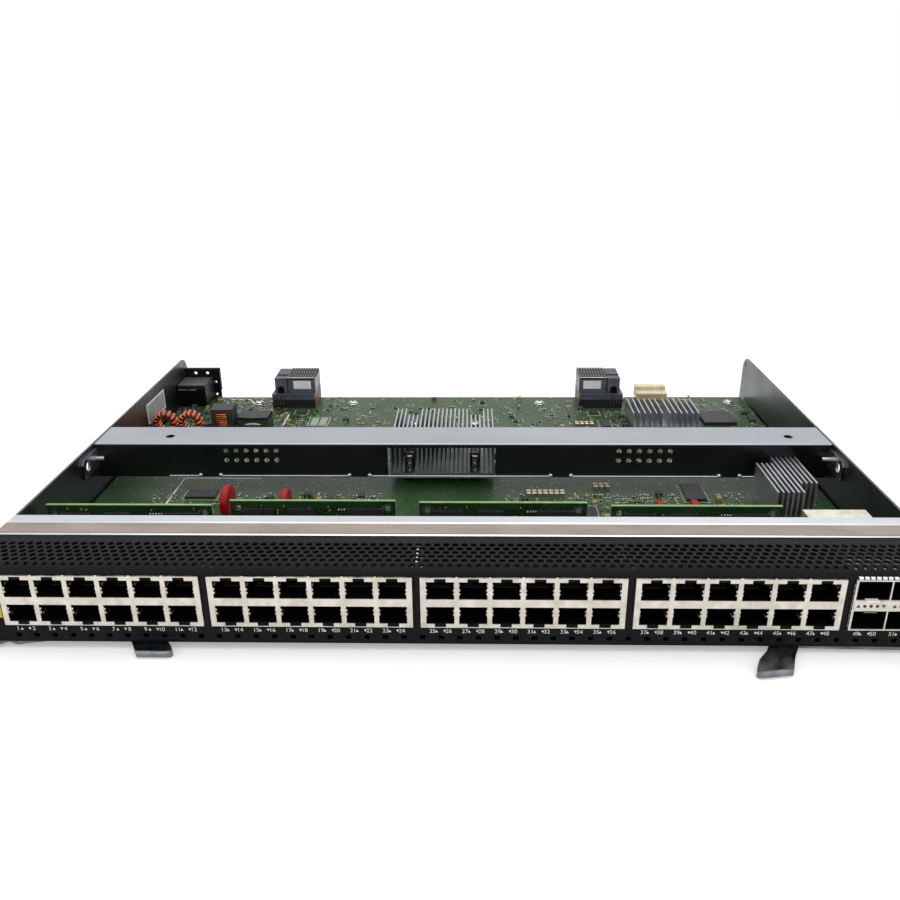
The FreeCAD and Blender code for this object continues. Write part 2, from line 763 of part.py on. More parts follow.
def makePhySink():
    """Tall heatsink at the right front whose fins end in steps at both ends."""
    low = boardTop + phyChipHeight
    rear = phyFront + phyLength
    sink = finComb(phyLeft, phyPitch, phyFins, phyFront, rear, low, low + phyBase, phyTop)
    split = phyLeft + phyPitch * phyFrontFins - (phyPitch - finThick) / 2
    short = phyLeft + phyPitch * phyShortFins - (phyPitch - finThick) / 2
    return cutAll(sink, [box(split, phyLeft + phyPitch * phyFins, phyFront - 1, phyFront + phyLate, low - 1, phyTop + 1),
                         box(phyLeft - 1, short, rear - phyShort, rear + 1, low - 1, phyTop + 1)])


def makePhyChip():
    x = phyLeft + phyPitch * phyFins / 2
    y = phyFront + phyLength / 2
    h = phyChipHalf
    return box(x - h, x + h, y - h, y + h, boardTop, boardTop + phyChipHeight)


def makeRearSink():
    """Low heatsink in front of the pin header, its fins in two groups."""
    low = boardTop + rearChipHeight
    high = low + rearSinkBase
    y0, y1 = rearSinkFront, rearSinkFront + rearSinkLength
    second = rearSinkLeft + rearSinkPitch * (rearSinkFins - 1) + rearSinkGap
    first = finComb(rearSinkLeft, rearSinkPitch, rearSinkFins, y0, y1, low, high, rearSinkTop)
    other = finComb(second, rearSinkPitch, rearSinkFins, y0, y1, low, high, rearSinkTop)
    return joined([first, other, box(rearSinkLeft, second + finThick, y0, y1, low, high)])


def makeRearChip():
    x = rearSinkLeft + rearSinkPitch * (rearSinkFins - 0.5) + finThick
    y = rearSinkFront + rearSinkLength / 2
    h = rearChipHalf
    return box(x - h, x + h, y - h, y + h, boardTop, boardTop + rearChipHeight)


def blocks(places):
    return [box(x, x + w, y, y + d, boardTop, boardTop + h) for x, y, w, d, h in places]


def daughterPlace(index):
    shift, y = daughterShifts[index]
    return blockCentre(index) + shift, y


def makeDaughter(index):
    """Upright board with a hole near each upper corner."""
    x, y = daughterPlace(index)
    half = daughterWidth / 2
    board = box(x - half, x + half, y, y + daughterThick, boardTop + daughterRise, daughterTop)
    holes = [prism(8, daughterHoleDia, 3 * daughterThick,
                   (x + side * (half - daughterHoleInset), y - daughterThick, daughterTop - daughterHoleInset),
                   (0, 1, 0)) for side in (-1, 1)]
    return cutAll(board, holes)


def makeDaughterHeaders():
    """Board-to-board headers: each stands on the main board and grips its daughter board."""
    made = []
    for x, y in map(daughterPlace, range(blockCount)):
        half = headerWidth / 2
        y0 = y + daughterThick / 2 - headerDepth / 2
        body = box(x - half, x + half, y0, y0 + headerDepth, boardTop, boardTop + headerHeight)
        slot = box(x - half - 1, x + half + 1, y - headerGap, y + daughterThick + headerGap,
                   boardTop + daughterRise, boardTop + headerHeight + 1)
        made.append(body.cut(slot))
    return made


def makeDaughterChips():
    made = []
    for x, y in map(daughterPlace, range(blockCount)):
        for offset, width, height in daughterChips:
            z1 = daughterTop - daughterHoleInset
            made.append(box(x + offset - width / 2, x + offset + width / 2, y - daughterChipThick, y,
                            z1 - height, z1))
    return made


def linkSides(left, mirrored):
    """Where the wafer body and the guide stand on a connector's base."""
    bodyX = left if mirrored else left + linkBaseWidth - linkBodyWidth
    guideX = left + linkBodyWidth + guideGap if mirrored else left + linkBaseWidth - linkBodyWidth - guideGap - guideWidth
    return bodyX, guideX


def makeLink(left, mirrored):
    """Backplane connector: base and wafer body with shallow ribs on top and mating slots at its rear."""
    z1 = boardTop + linkBaseHeight
    bodyX, _ = linkSides(left, mirrored)
    bodyFront = linkFront + linkBodySetback
    bodyTop = z1 + linkBodyHeight
    boardRear = trayDepth - boardRearGap
    pieces = [box(left, left + linkBaseWidth, linkFront, boardRear, boardTop, z1),
              box(bodyX, bodyX + linkBodyWidth, bodyFront, linkRear, z1, bodyTop),
              box(bodyX, bodyX + linkBodyWidth, boardRear, linkRear, boardTop, z1)]
    ribPitch = linkBodyWidth / linkRibs
    for k in range(linkRibs):
        x = bodyX + ribPitch * (k + 0.5)
        pieces.append(box(x - ribPitch * linkRibShare / 2, x + ribPitch * linkRibShare / 2, bodyFront, linkRear,
                          bodyTop, bodyTop + linkRibRise))
    slots = []
    slotPitch = linkBodyWidth / linkSlots
    for k in range(linkSlots):
        x = bodyX + slotPitch * (k + 0.5)
        slots.append(box(x - slotPitch * linkSlotShare / 2, x + slotPitch * linkSlotShare / 2,
                         linkRear - linkSlotDepth, linkRear + 1, boardTop + linkSlotRise, bodyTop - linkSlotDrop))
    return cutAll(joined(pieces), slots)


def makeGuide(left, mirrored):
    """Guide block beside the wafers, with the hole that the backplane's pin enters from the rear."""
    _, guideX = linkSides(left, mirrored)
    y0 = linkFront + linkBodySetback - guideSetback
    z0 = boardTop + linkBaseHeight
    block = box(guideX, guideX + guideWidth, y0, linkRear, z0, z0 + linkBodyHeight - guideDrop)
    middle = (guideX + guideWidth / 2, y0 - 1, z0 + guideBoreRise)
    return cutAll(block, [rod(guideHoleDia, linkDepth + 2, middle, (0, 1, 0))])


def makeShroud():
    """Open pin header shroud at the rear edge, with a lower step along its front."""
    x0, x1 = shroudLeft, shroudLeft + shroudWidth
    rear = shroudFront + shroudDepth
    middle = shroudFront + shroudStepDepth
    step = box(x0, x1, shroudFront, middle, boardTop, boardTop + shroudStep)
    tall = box(x0, x1, middle, rear, boardTop, boardTop + shroudHeight)
    well = box(x0 + shroudWall, x1 - shroudWall, middle + shroudWall, rear + 1,
               boardTop + shroudWall, boardTop + shroudHeight - shroudWall)
    return joined([step, tall]).cut(well)


def makeInlet():
    """Power connector with two blade slots in its rear face."""
    x0, x1 = inletLeft, inletLeft + inletWidth
    body = box(x0, x1, trayDepth - inletDepth, trayDepth, boardTop, boardTop + inletHeight)
    tools = [box(x0 - 1, x1 + 1, trayDepth - boardRearGap, trayDepth + 1, 0, boardTop + inletFootRise)]
    for share in bladeShares:
        x = x0 + inletWidth * share
        tools.append(box(x - bladeWidth / 2, x + bladeWidth / 2, trayDepth - bladeDepth, trayDepth + 1,
                         boardTop + bladeRise, boardTop + bladeRise + inletSlot))
    return cutAll(body, tools)


def makeInletFrame():
    """Bracket plate around the power connector, bent over along its top and right edges."""
    y0 = trayDepth - boardRearGap - inletFrameSheet - inletFrameGap
    z1 = boardTop + inletFrameHeight
    x0, x1 = inletLeft - inletFrameGap, inletFrameRight
    plate = box(x0, x1, y0, y0 + inletFrameSheet, boardTop, z1)
    lip = box(x0, x1, y0, y0 + inletFrameLip, z1 - inletFrameSheet, z1)
    side = box(x1 - inletFrameSheet, x1, y0, y0 + inletFrameLip, boardTop + inletFrameSideRise, z1)
    tools = [box(x0 - 1, inletLeft + inletWidth + inletFrameGap, y0 - 1, y0 + inletFrameLip + 1,
                 boardTop - 1, boardTop + inletHeight + inletFrameGap)]
    for along, up in inletHoles:
        tools.append(prism(12, inletHoleDia, 4 * inletFrameSheet, (inletLeft + along, y0 - 1, boardTop + up),
                           (0, 1, 0)))
    return cutAll(joined([plate, lip, side]), tools)


def coilRing(place):
    """The ring core's own form, standing on its edge with its axis from front to rear."""
    x, y = place
    inset = coilWire + windingGap
    middle = (x, y - coilWidth / 2 + inset, boardTop + coilLift + coilDia / 2)
    ring = prism(coilSides, coilDia - 2 * inset, coilWidth - 2 * inset, middle, (0, 1, 0))
    return ring.cut(prism(coilSides, coilBore + 2 * inset, coilWidth, middle, (0, 1, 0)))


def makeCoilWinding(place):
    """Winding round that core: a fluted sleeve with one ridge for each turn."""
    x, y = place
    z = boardTop + coilLift + coilDia / 2
    outer = []
    for k in range(2 * coilTurns):
        angle = math.pi * (k + 0.5) / coilTurns
        reach = coilDia / 2 - (0 if k % 2 else ridgeDepth)
        outer.append((x + reach * math.sin(angle), y - coilWidth / 2, z + reach * math.cos(angle)))
    bore = prism(coilSides, coilBore, coilWidth, (x, y - coilWidth / 2, z), (0, 1, 0))
    return plateFrom(outer, (0, coilWidth, 0)).cut(bore).cut(coilRing(place))


def makeCoilBases():
    """Plastic cradle under each coil."""
    made = []
    for x, y in coilPlaces:
        base = box(x - coilDia / 3, x + coilDia / 3, y - coilWidth / 2, y + coilWidth / 2,
                   boardTop, boardTop + cradleHeight)
        ring = rod(coilDia + 2 * cradleGap, coilWidth + 2,
                   (x, y - coilWidth / 2 - 1, boardTop + coilLift + coilDia / 2), (0, 1, 0))
        made.append(base.cut(ring))
    return made


def pulseSpan(setback):
    """The winding window of the pulse transformer, reaching past its faces by a distance."""
    x, y, w, d, h = pulsePlace
    left, right, low, high = pulseWindow
    return box(x + w * left, x + w * right, y - setback, y + d + setback, boardTop + h * low, boardTop + h * high)


def makePulse():
    """Pulse transformer: square core with its winding window open to the front and rear."""
    return blocks([pulsePlace])[0].cut(pulseSpan(1))


def makePulseWinding():
    return pulseSpan(pulseBobbin / 2)


def makePlanar():
    """Planar transformer: flat core halves with the board-like winding between them."""
    x, y, w, d, h = planarPlace
    level = boardTop + h * planarLevel
    core = box(x, x + w, y + planarSetback, y + d - planarSetback, boardTop, boardTop + h)
    winding = box(x - planarOverhang, x + w + planarOverhang, y, y + d, level, level + planarArch)
    return [core.cut(winding), winding]


def makeDiscs():
    """Round varistors standing on their legs."""
    made = []
    face = discDia - 2 * discEdge
    for x, y in discPlaces:
        z = boardTop + discLegs + discDia / 2
        disc = turned(discSides, ((face, 0), (discDia, discEdge), (discDia, discThick - discEdge), (face, discThick)),
                      (x - discThick / 2, y, z), (1, 0, 0))
        half = discLegDia / 2
        legs = [box(x - half, x + half, y + k * discLegPitch / 2 - half, y + k * discLegPitch / 2 + half,
                    boardTop, boardTop + discLegTop) for k in (-1, 1)]
        made.append(joined([disc] + legs))
    return made


def makeCapacitors():
    w, d, h = capSize
    return [box(x + pitch * k, x + pitch * k + w, y, y + d, boardTop, boardTop + h)
            for x, y, count, pitch in capRows for k in range(count)]


# ---- ejector levers ------------------------------------------------------------------------------

def hemSection():
    """Handle's side view: the plate, the round fold at its front and the hem turned back below."""
    v = FreeCAD.Vector
    axis = handleFront + foldRadius
    top = -leverGap
    low = top - 2 * foldRadius
    end = axis + hemLength
    rear = leverArmRear[0][1] + 1
    turns = [math.pi * k / foldSides for k in range(foldSides + 1)]
    fold = [v(0, axis - foldRadius * math.sin(t), top - foldRadius + foldRadius * math.cos(t)) for t in turns]
    corners = [v(0, end, low), v(0, end, low + leverSheet), v(0, axis, low + leverSheet),
               v(0, axis, top - leverSheet), v(0, rear, top - leverSheet), v(0, rear, top)]
    return Part.Face(Part.makePolygon(fold + corners + fold[:1]))


def leverShape():
    """Left lever, closed, about its pivot at the origin: claw, arm and hemmed handle."""
    outline = [leverArmFront] + list(leverHandle) + list(leverArmRear) + list(leverClaw)
    low = -leverGap - leverSheet
    plate = plateFrom([(x, y, low) for x, y in outline], (0, 0, leverSheet))
    plate = plate.common(box(min(x for x, y in outline) - 1, handleStart, -cardWidth, cardWidth, low, -leverGap))
    under = -leverGap - 2 * foldRadius
    tall = plateFrom([(x, y, under) for x, y in outline], (0, 0, 2 * foldRadius))
    strip = hemSection().extrude(FreeCAD.Vector(cardWidth, 0, 0))
    strip.translate(FreeCAD.Vector(handleStart, 0, 0))
    bore = rod(pivotDia + 2 * pivotClearance, 3 * leverSheet, (0, 0, low - leverSheet), (0, 0, 1))
    return joined([plate, tall.common(strip)]).cut(bore)


def makeLeverLeft():
    lever = leverShape()
    lever.translate(FreeCAD.Vector(-pivotX, pivotY, 0))
    return lever


def makeLeverRight():
    """The mirror image, standing a little open."""
    lever = leverShape().mirror(FreeCAD.Vector(0, 0, 0), FreeCAD.Vector(1, 0, 0))
    lever.rotate(FreeCAD.Vector(0, 0, 0), FreeCAD.Vector(0, 0, 1), leverOpenRight)
    lever.translate(FreeCAD.Vector(pivotX, pivotY, 0))
    return lever


def makePivots():
    """Shoulder rivets that carry the levers, clinched in the tray's floor."""
    made = []
    drop = 2 * leverGap + leverSheet
    for side in (-1, 1):
        x = side * pivotX
        tail = prism(8, pivotDia - 1, sheet, (x, pivotY, 0), (0, 0, 1))
        shoulder = rod(pivotDia, drop + leverBayRise, (x, pivotY, -drop), (0, 0, 1))
        head = prism(12, pivotHeadDia, pivotHeadHeight, (x, pivotY, -drop - pivotHeadHeight), (0, 0, 1))
        made.append(joined([tail, shoulder, head]))
    return made


def main():
    os.makedirs("parts", exist_ok=True)
    save("tray", [makeTray()])
    save("faceplate", [makeFaceplate()])
    save("top_rail", [makeRail()])
    save("rail_gasket", [makeGasket()])
    save("cross_brace", [makeBrace()])
    save("brace_screws", makeBraceScrews())
    save("main_board", [makeBoard()])
    save("board_standoffs", makeStandoffs())
    save("board_screws", makeBoardScrews())
    for index in range(blockCount):
        number = str(index + 1)
        save("jack_shield_" + number, [makeShield(index)])
        save("jack_housing_" + number, [makeHousing(index)])
        save("jack_contacts_" + number, makeContacts(index))
        save("daughter_board_" + number, [makeDaughter(index)])
    save("daughter_headers", makeDaughterHeaders())
    save("daughter_chips", makeDaughterChips())
    save("sfp_cage", [makeCage()])
    save("sfp_indicator_strip", [makeIndicator()])
    save("sfp_host_connectors", makeHosts())
    save("sfp_spring_collar", [makeCollar()])
    save("centre_heatsink", [makeAsicSink()])
    save("heatsink_screws", makeAsicScrews())
    save("heatsink_springs", makeAsicSprings())
    save("switch_chip", [makeAsicChip()])
    save("front_heatsink", [makePhySink()])
    save("rear_heatsink", [makeRearSink()])
    save("ball_grid_chips", [makePhyChip(), makeRearChip()] + blocks([fabricChip]))
    save("backplane_connector_left", [makeLink(linkLeft, False)])
    save("backplane_connector_right", [makeLink(linkRight, True)])
    save("guide_block_left", [makeGuide(linkLeft, False)])
    save("guide_block_right", [makeGuide(linkRight, True)])
    save("pin_header_shroud", [makeShroud()])
    save("power_connector", [makeInlet()])
    save("power_bracket", [makeInletFrame()])
    save("coil_cores", [coilRing(place) for place in coilPlaces])
    save("coil_windings", [makeCoilWinding(place) for place in coilPlaces])
    save("coil_cradles", makeCoilBases())
    save("pulse_transformer_core", [makePulse()])
    save("pulse_transformer_winding", [makePulseWinding()])
    core, winding = makePlanar()
    save("planar_transformer_core", [core])
    save("planar_transformer_winding", [winding])
    save("disc_varistors", makeDiscs())
    save("chip_packages", blocks(chipPlaces))
    save("chip_capacitors", makeCapacitors())
    save("ejector_lever_left", [makeLeverLeft()])
    save("ejector_lever_right", [makeLeverRight()])
    save("lever_pivots", makePivots())


main()
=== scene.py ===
import bpy
import bmesh
import math
import random
from mathutils import Matrix, Vector


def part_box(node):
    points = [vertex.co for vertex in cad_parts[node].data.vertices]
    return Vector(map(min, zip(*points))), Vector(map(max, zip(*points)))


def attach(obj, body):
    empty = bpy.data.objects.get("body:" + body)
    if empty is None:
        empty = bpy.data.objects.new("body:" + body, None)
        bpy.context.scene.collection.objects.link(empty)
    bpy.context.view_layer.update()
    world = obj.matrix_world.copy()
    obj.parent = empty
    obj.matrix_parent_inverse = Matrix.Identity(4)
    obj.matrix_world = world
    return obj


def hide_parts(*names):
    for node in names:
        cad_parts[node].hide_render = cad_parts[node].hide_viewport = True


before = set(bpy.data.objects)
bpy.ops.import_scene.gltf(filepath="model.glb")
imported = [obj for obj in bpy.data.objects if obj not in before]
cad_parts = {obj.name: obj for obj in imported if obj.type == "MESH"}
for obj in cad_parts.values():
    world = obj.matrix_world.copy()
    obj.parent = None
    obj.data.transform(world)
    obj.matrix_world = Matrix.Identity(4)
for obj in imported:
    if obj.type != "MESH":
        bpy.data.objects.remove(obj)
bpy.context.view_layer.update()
mm = 0.001

# the card's own sizes in millimetres; X runs left to right, Y from the faceplate's face to the rear, Z up
card = {
    "width": 415.0,
    "depth": 306.0,
    "boardTop": 8.3,
    "blockPitch": 89.94,
    "blockRow": -16.2,  # middle of the row of jack blocks
    "blocks": 4,
    "columns": 6,
    "portPitch": 13.97,
    "portWidth": 11.93,
    "beam": 3.72,  # height of the shield between the two rows of ports
}
shields = ["jack_shield_%d" % number for number in range(1, card["blocks"] + 1)]
uprights = ["daughter_board_%d" % number for number in range(1, card["blocks"] + 1)]


def place(x, y, z):  # from the card's millimetres to the frame's metres
    return Vector((x * mm, (y - card["depth"] / 2) * mm, z * mm))


def spanOf(node):  # a node's box in the card's millimetres: x range, y range, z range
    low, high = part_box(node)
    half = card["depth"] / 2
    return low.x / mm, high.x / mm, low.y / mm + half, high.y / mm + half, low.z / mm, high.z / mm


# finishes

def toLinear(hexColour):
    parts = [int(hexColour[i:i + 2], 16) / 255 for i in (1, 3, 5)]
    return tuple(c / 12.92 if c <= 0.04045 else ((c + 0.055) / 1.055) ** 2.4 for c in parts) + (1.0,)


def addNode(tree, kind, settings=None, links=None):
    node = tree.nodes.new(kind)
    for key, value in (settings or {}).items():
        if key == "stops":
            for element, (position, colour) in zip(node.color_ramp.elements, value):
                element.position, element.color = position, toLinear(colour)
        elif isinstance(key, int) or key in node.inputs:
            node.inputs[key].default_value = value
        else:
            setattr(node, key, value)
    for key, (source, output) in (links or {}).items():
        tree.links.new(source.outputs[output], node.inputs[key])
    return node


def addPattern(look, patchMm, stretch, noise, kind, settings, source, output, target):
    # cloudy pattern sized in millimetres and squeezed along a drawn or rolled direction, led into one socket
    tree = look["tree"]
    mapped = addNode(tree, "ShaderNodeMapping", {"Scale": stretch}, {"Vector": (look["coords"], "Object")})
    clouds = addNode(tree, "ShaderNodeTexNoise", {"Scale": 1000 / patchMm, **noise},
                     {"Vector": (mapped, "Vector")})
    last = addNode(tree, kind, settings, {source: (clouds, "Fac")})
    tree.links.new(last.outputs[output], look["shader"].inputs[target])
    return last


def mottle(look, darker, lighter, patchMm, stretch=(1, 1, 1)):  # cloudy colour
    stops = {"stops": ((0.35, darker), (0.65, lighter))}
    look["colour"] = addPattern(look, patchMm, stretch, {"Detail": 5.0, "Roughness": 0.6},
                                "ShaderNodeValToRGB", stops, "Fac", "Color", "Base Color")


def smudge(look, smooth, rough, patchMm):  # handling marks that dull the gloss
    spread = {"From Min": 0.3, "From Max": 0.7, "To Min": smooth, "To Max": rough}
    addPattern(look, patchMm, (1, 1, 1), {"Detail": 3.0},
               "ShaderNodeMapRange", spread, "Value", "Result", "Roughness")


def grain(look, grainMm, depthMm, strength=0.5, stretch=(1, 1, 1)):  # fine relief
    height = {"Strength": strength, "Distance": depthMm * mm}
    addPattern(look, grainMm, stretch, {"Detail": 2.0},
               "ShaderNodeBump", height, "Height", "Normal", "Normal")


def newFinish(name, colour, rough, metallic=0.0, cloud=None, marks=None, relief=None, sockets=None):
    material = bpy.data.materials.new(name)
    material.use_nodes = True
    tree = material.node_tree
    tree.nodes.clear()
    settings = {"Base Color": toLinear(colour), "Roughness": rough, "Metallic": metallic, **(sockets or {})}
    shader = addNode(tree, "ShaderNodeBsdfPrincipled", settings)
    addNode(tree, "ShaderNodeOutputMaterial", None, {"Surface": (shader, "BSDF")})
    coords = addNode(tree, "ShaderNodeTexCoord")
    look = {"material": material, "tree": tree, "shader": shader, "coords": coords}
    for work, values in ((mottle, cloud), (smudge, marks), (grain, relief)):
        if values:
            work(look, *values)
    return look


def newPlastic(name, colour, rough, darker, lighter, patchMm, relief=(0.3, 0.01)):
    # moulded or pressed in a tool, whose fine spark-eroded grain stays on the surface
    return newFinish(name, colour, rough, 0.0, (darker, lighter, patchMm), None, relief)


def darkenUpright(look, tone):  # painted shade: a dark tone mixed into faces that look forwards or back, standing in for their dark reflection
    tree = look["tree"]
    facing = addNode(tree, "ShaderNodeSeparateXYZ", None, {0: (look["coords"], "Normal")})
    upright = addNode(tree, "ShaderNodeMath", {"operation": "ABSOLUTE"}, {0: (facing, "Y")})
    share = addNode(tree, "ShaderNodeMapRange", {"From Min": 0.6, "From Max": 0.95}, {"Value": (upright, 0)})
    both = addNode(tree, "ShaderNodeMix", {"data_type": "RGBA", 7: toLinear(tone)},
                   {"Factor": (share, "Result"), 6: (look["colour"], "Color")})
    tree.links.new(both.outputs[2], look["shader"].inputs["Base Color"])
    return look


bandFactor = 6.3  # at this factor a wave texture's bands come out as wide as the size given
laminate = {
    "cloudMm": 26,
    "zoneMm": 17,  # patches whose runs share one direction
    "runEdge": (0.62, 0.75),
    "routedAbove": 0.58,  # share of patches left without runs
    "viaMm": 3.1,
    "viaEdge": (0.13, 0.1),
    "viaAbove": 0.55,
    "tin": "#b9bda6",
    "runReliefMm": 0.05,
}


def makeSolderMask(name, base, trace, deep, traceMm):
    # glass-epoxy laminate under sprayed solder mask: copper runs show through lighter, vias as tin dots
    look = newFinish(name, base, 0.4, sockets={"IOR": 1.52, "Specular IOR Level": 0.28})
    tree, shader = look["tree"], look["shader"]
    where = {"Vector": (look["coords"], "Object")}
    clouds = addNode(tree, "ShaderNodeTexNoise", {"Scale": 1000 / laminate["cloudMm"], "Detail": 3.0}, where)
    ground = addNode(tree, "ShaderNodeValToRGB", {"stops": ((0.35, deep), (0.62, base))},
                     {"Fac": (clouds, "Fac")})
    zones = addNode(tree, "ShaderNodeTexVoronoi",
                    {"Scale": 1000 / laminate["zoneMm"], "distance": "CHEBYCHEV"}, where)
    across, along = [addNode(tree, "ShaderNodeTexWave", {"Scale": 1000 / traceMm / bandFactor,
                             "bands_direction": way, "Distortion": 0.6, "Detail": 1.0}, where)
                     for way in ("X", "DIAGONAL")]
    zoneTone = addNode(tree, "ShaderNodeSeparateColor", None, {"Color": (zones, "Color")})
    pick = addNode(tree, "ShaderNodeMath", {"operation": "GREATER_THAN", 1: 0.5}, {0: (zoneTone, "Red")})
    runs = addNode(tree, "ShaderNodeMix", {"data_type": "FLOAT"},
                   {"Factor": (pick, 0), 2: (across, "Fac"), 3: (along, "Fac")})
    faint, full = laminate["runEdge"]
    lines = addNode(tree, "ShaderNodeMapRange", {"From Min": faint, "From Max": full}, {"Value": (runs, 0)})
    routed = addNode(tree, "ShaderNodeMath", {"operation": "GREATER_THAN", 1: laminate["routedAbove"]},
                     {0: (zoneTone, "Green")})
    copper = addNode(tree, "ShaderNodeMath", {"operation": "MULTIPLY"},
                     {0: (lines, "Result"), 1: (routed, 0)})
    green = addNode(tree, "ShaderNodeMix", {"data_type": "RGBA", 7: toLinear(trace)},
                    {"Factor": (copper, 0), 6: (ground, "Color")})
    vias = addNode(tree, "ShaderNodeTexVoronoi",
                   {"Scale": 1000 / laminate["viaMm"], "Randomness": 0.85}, where)
    faint, full = laminate["viaEdge"]
    dots = addNode(tree, "ShaderNodeMapRange", {"From Min": faint, "From Max": full},
                   {"Value": (vias, "Distance")})
    viaTone = addNode(tree, "ShaderNodeSeparateColor", None, {"Color": (vias, "Color")})
    some = addNode(tree, "ShaderNodeMath", {"operation": "GREATER_THAN", 1: laminate["viaAbove"]},
                   {0: (viaTone, "Blue")})
    tinned = addNode(tree, "ShaderNodeMath", {"operation": "MULTIPLY"}, {0: (dots, "Result"), 1: (some, 0)})
    colour = addNode(tree, "ShaderNodeMix", {"data_type": "RGBA", 7: toLinear(laminate["tin"])},
                     {"Factor": (tinned, 0), 6: (green, 2)})
    tree.links.new(colour.outputs[2], shader.inputs["Base Color"])
    tree.links.new(tinned.outputs[0], shader.inputs["Metallic"])
    bump = addNode(tree, "ShaderNodeBump", {"Strength": 0.25, "Distance": laminate["runReliefMm"] * mm},
                   {"Height": (copper, 0)})
    tree.links.new(bump.outputs["Normal"], shader.inputs["Normal"])
    return look


def makeWovenFabric(name):
    # nickel-coated nylon cloth glued round foam: a tight plain weave that shows as a dull taupe
    look = newFinish(name, "#a1938b", 0.82, cloud=("#93857e", "#a99b93", 9, (0.3, 1, 1)))
    tree = look["tree"]
    threadMm, weaveDepthMm = 0.7, 0.08  # real thread is 0.3 mm, drawn coarser so that it shows
    warp, weft = [addNode(tree, "ShaderNodeTexWave",
                          {"Scale": 1000 / threadMm / bandFactor, "bands_direction": way},
                          {"Vector": (look["coords"], "Object")}) for way in ("X", "Y")]
    cloth = addNode(tree, "ShaderNodeMath", {"operation": "MULTIPLY"}, {0: (warp, "Fac"), 1: (weft, "Fac")})
    bump = addNode(tree, "ShaderNodeBump", {"Strength": 0.35, "Distance": weaveDepthMm * mm},
                   {"Height": (cloth, 0)})
    tree.links.new(bump.outputs["Normal"], look["shader"].inputs["Normal"])
    return look


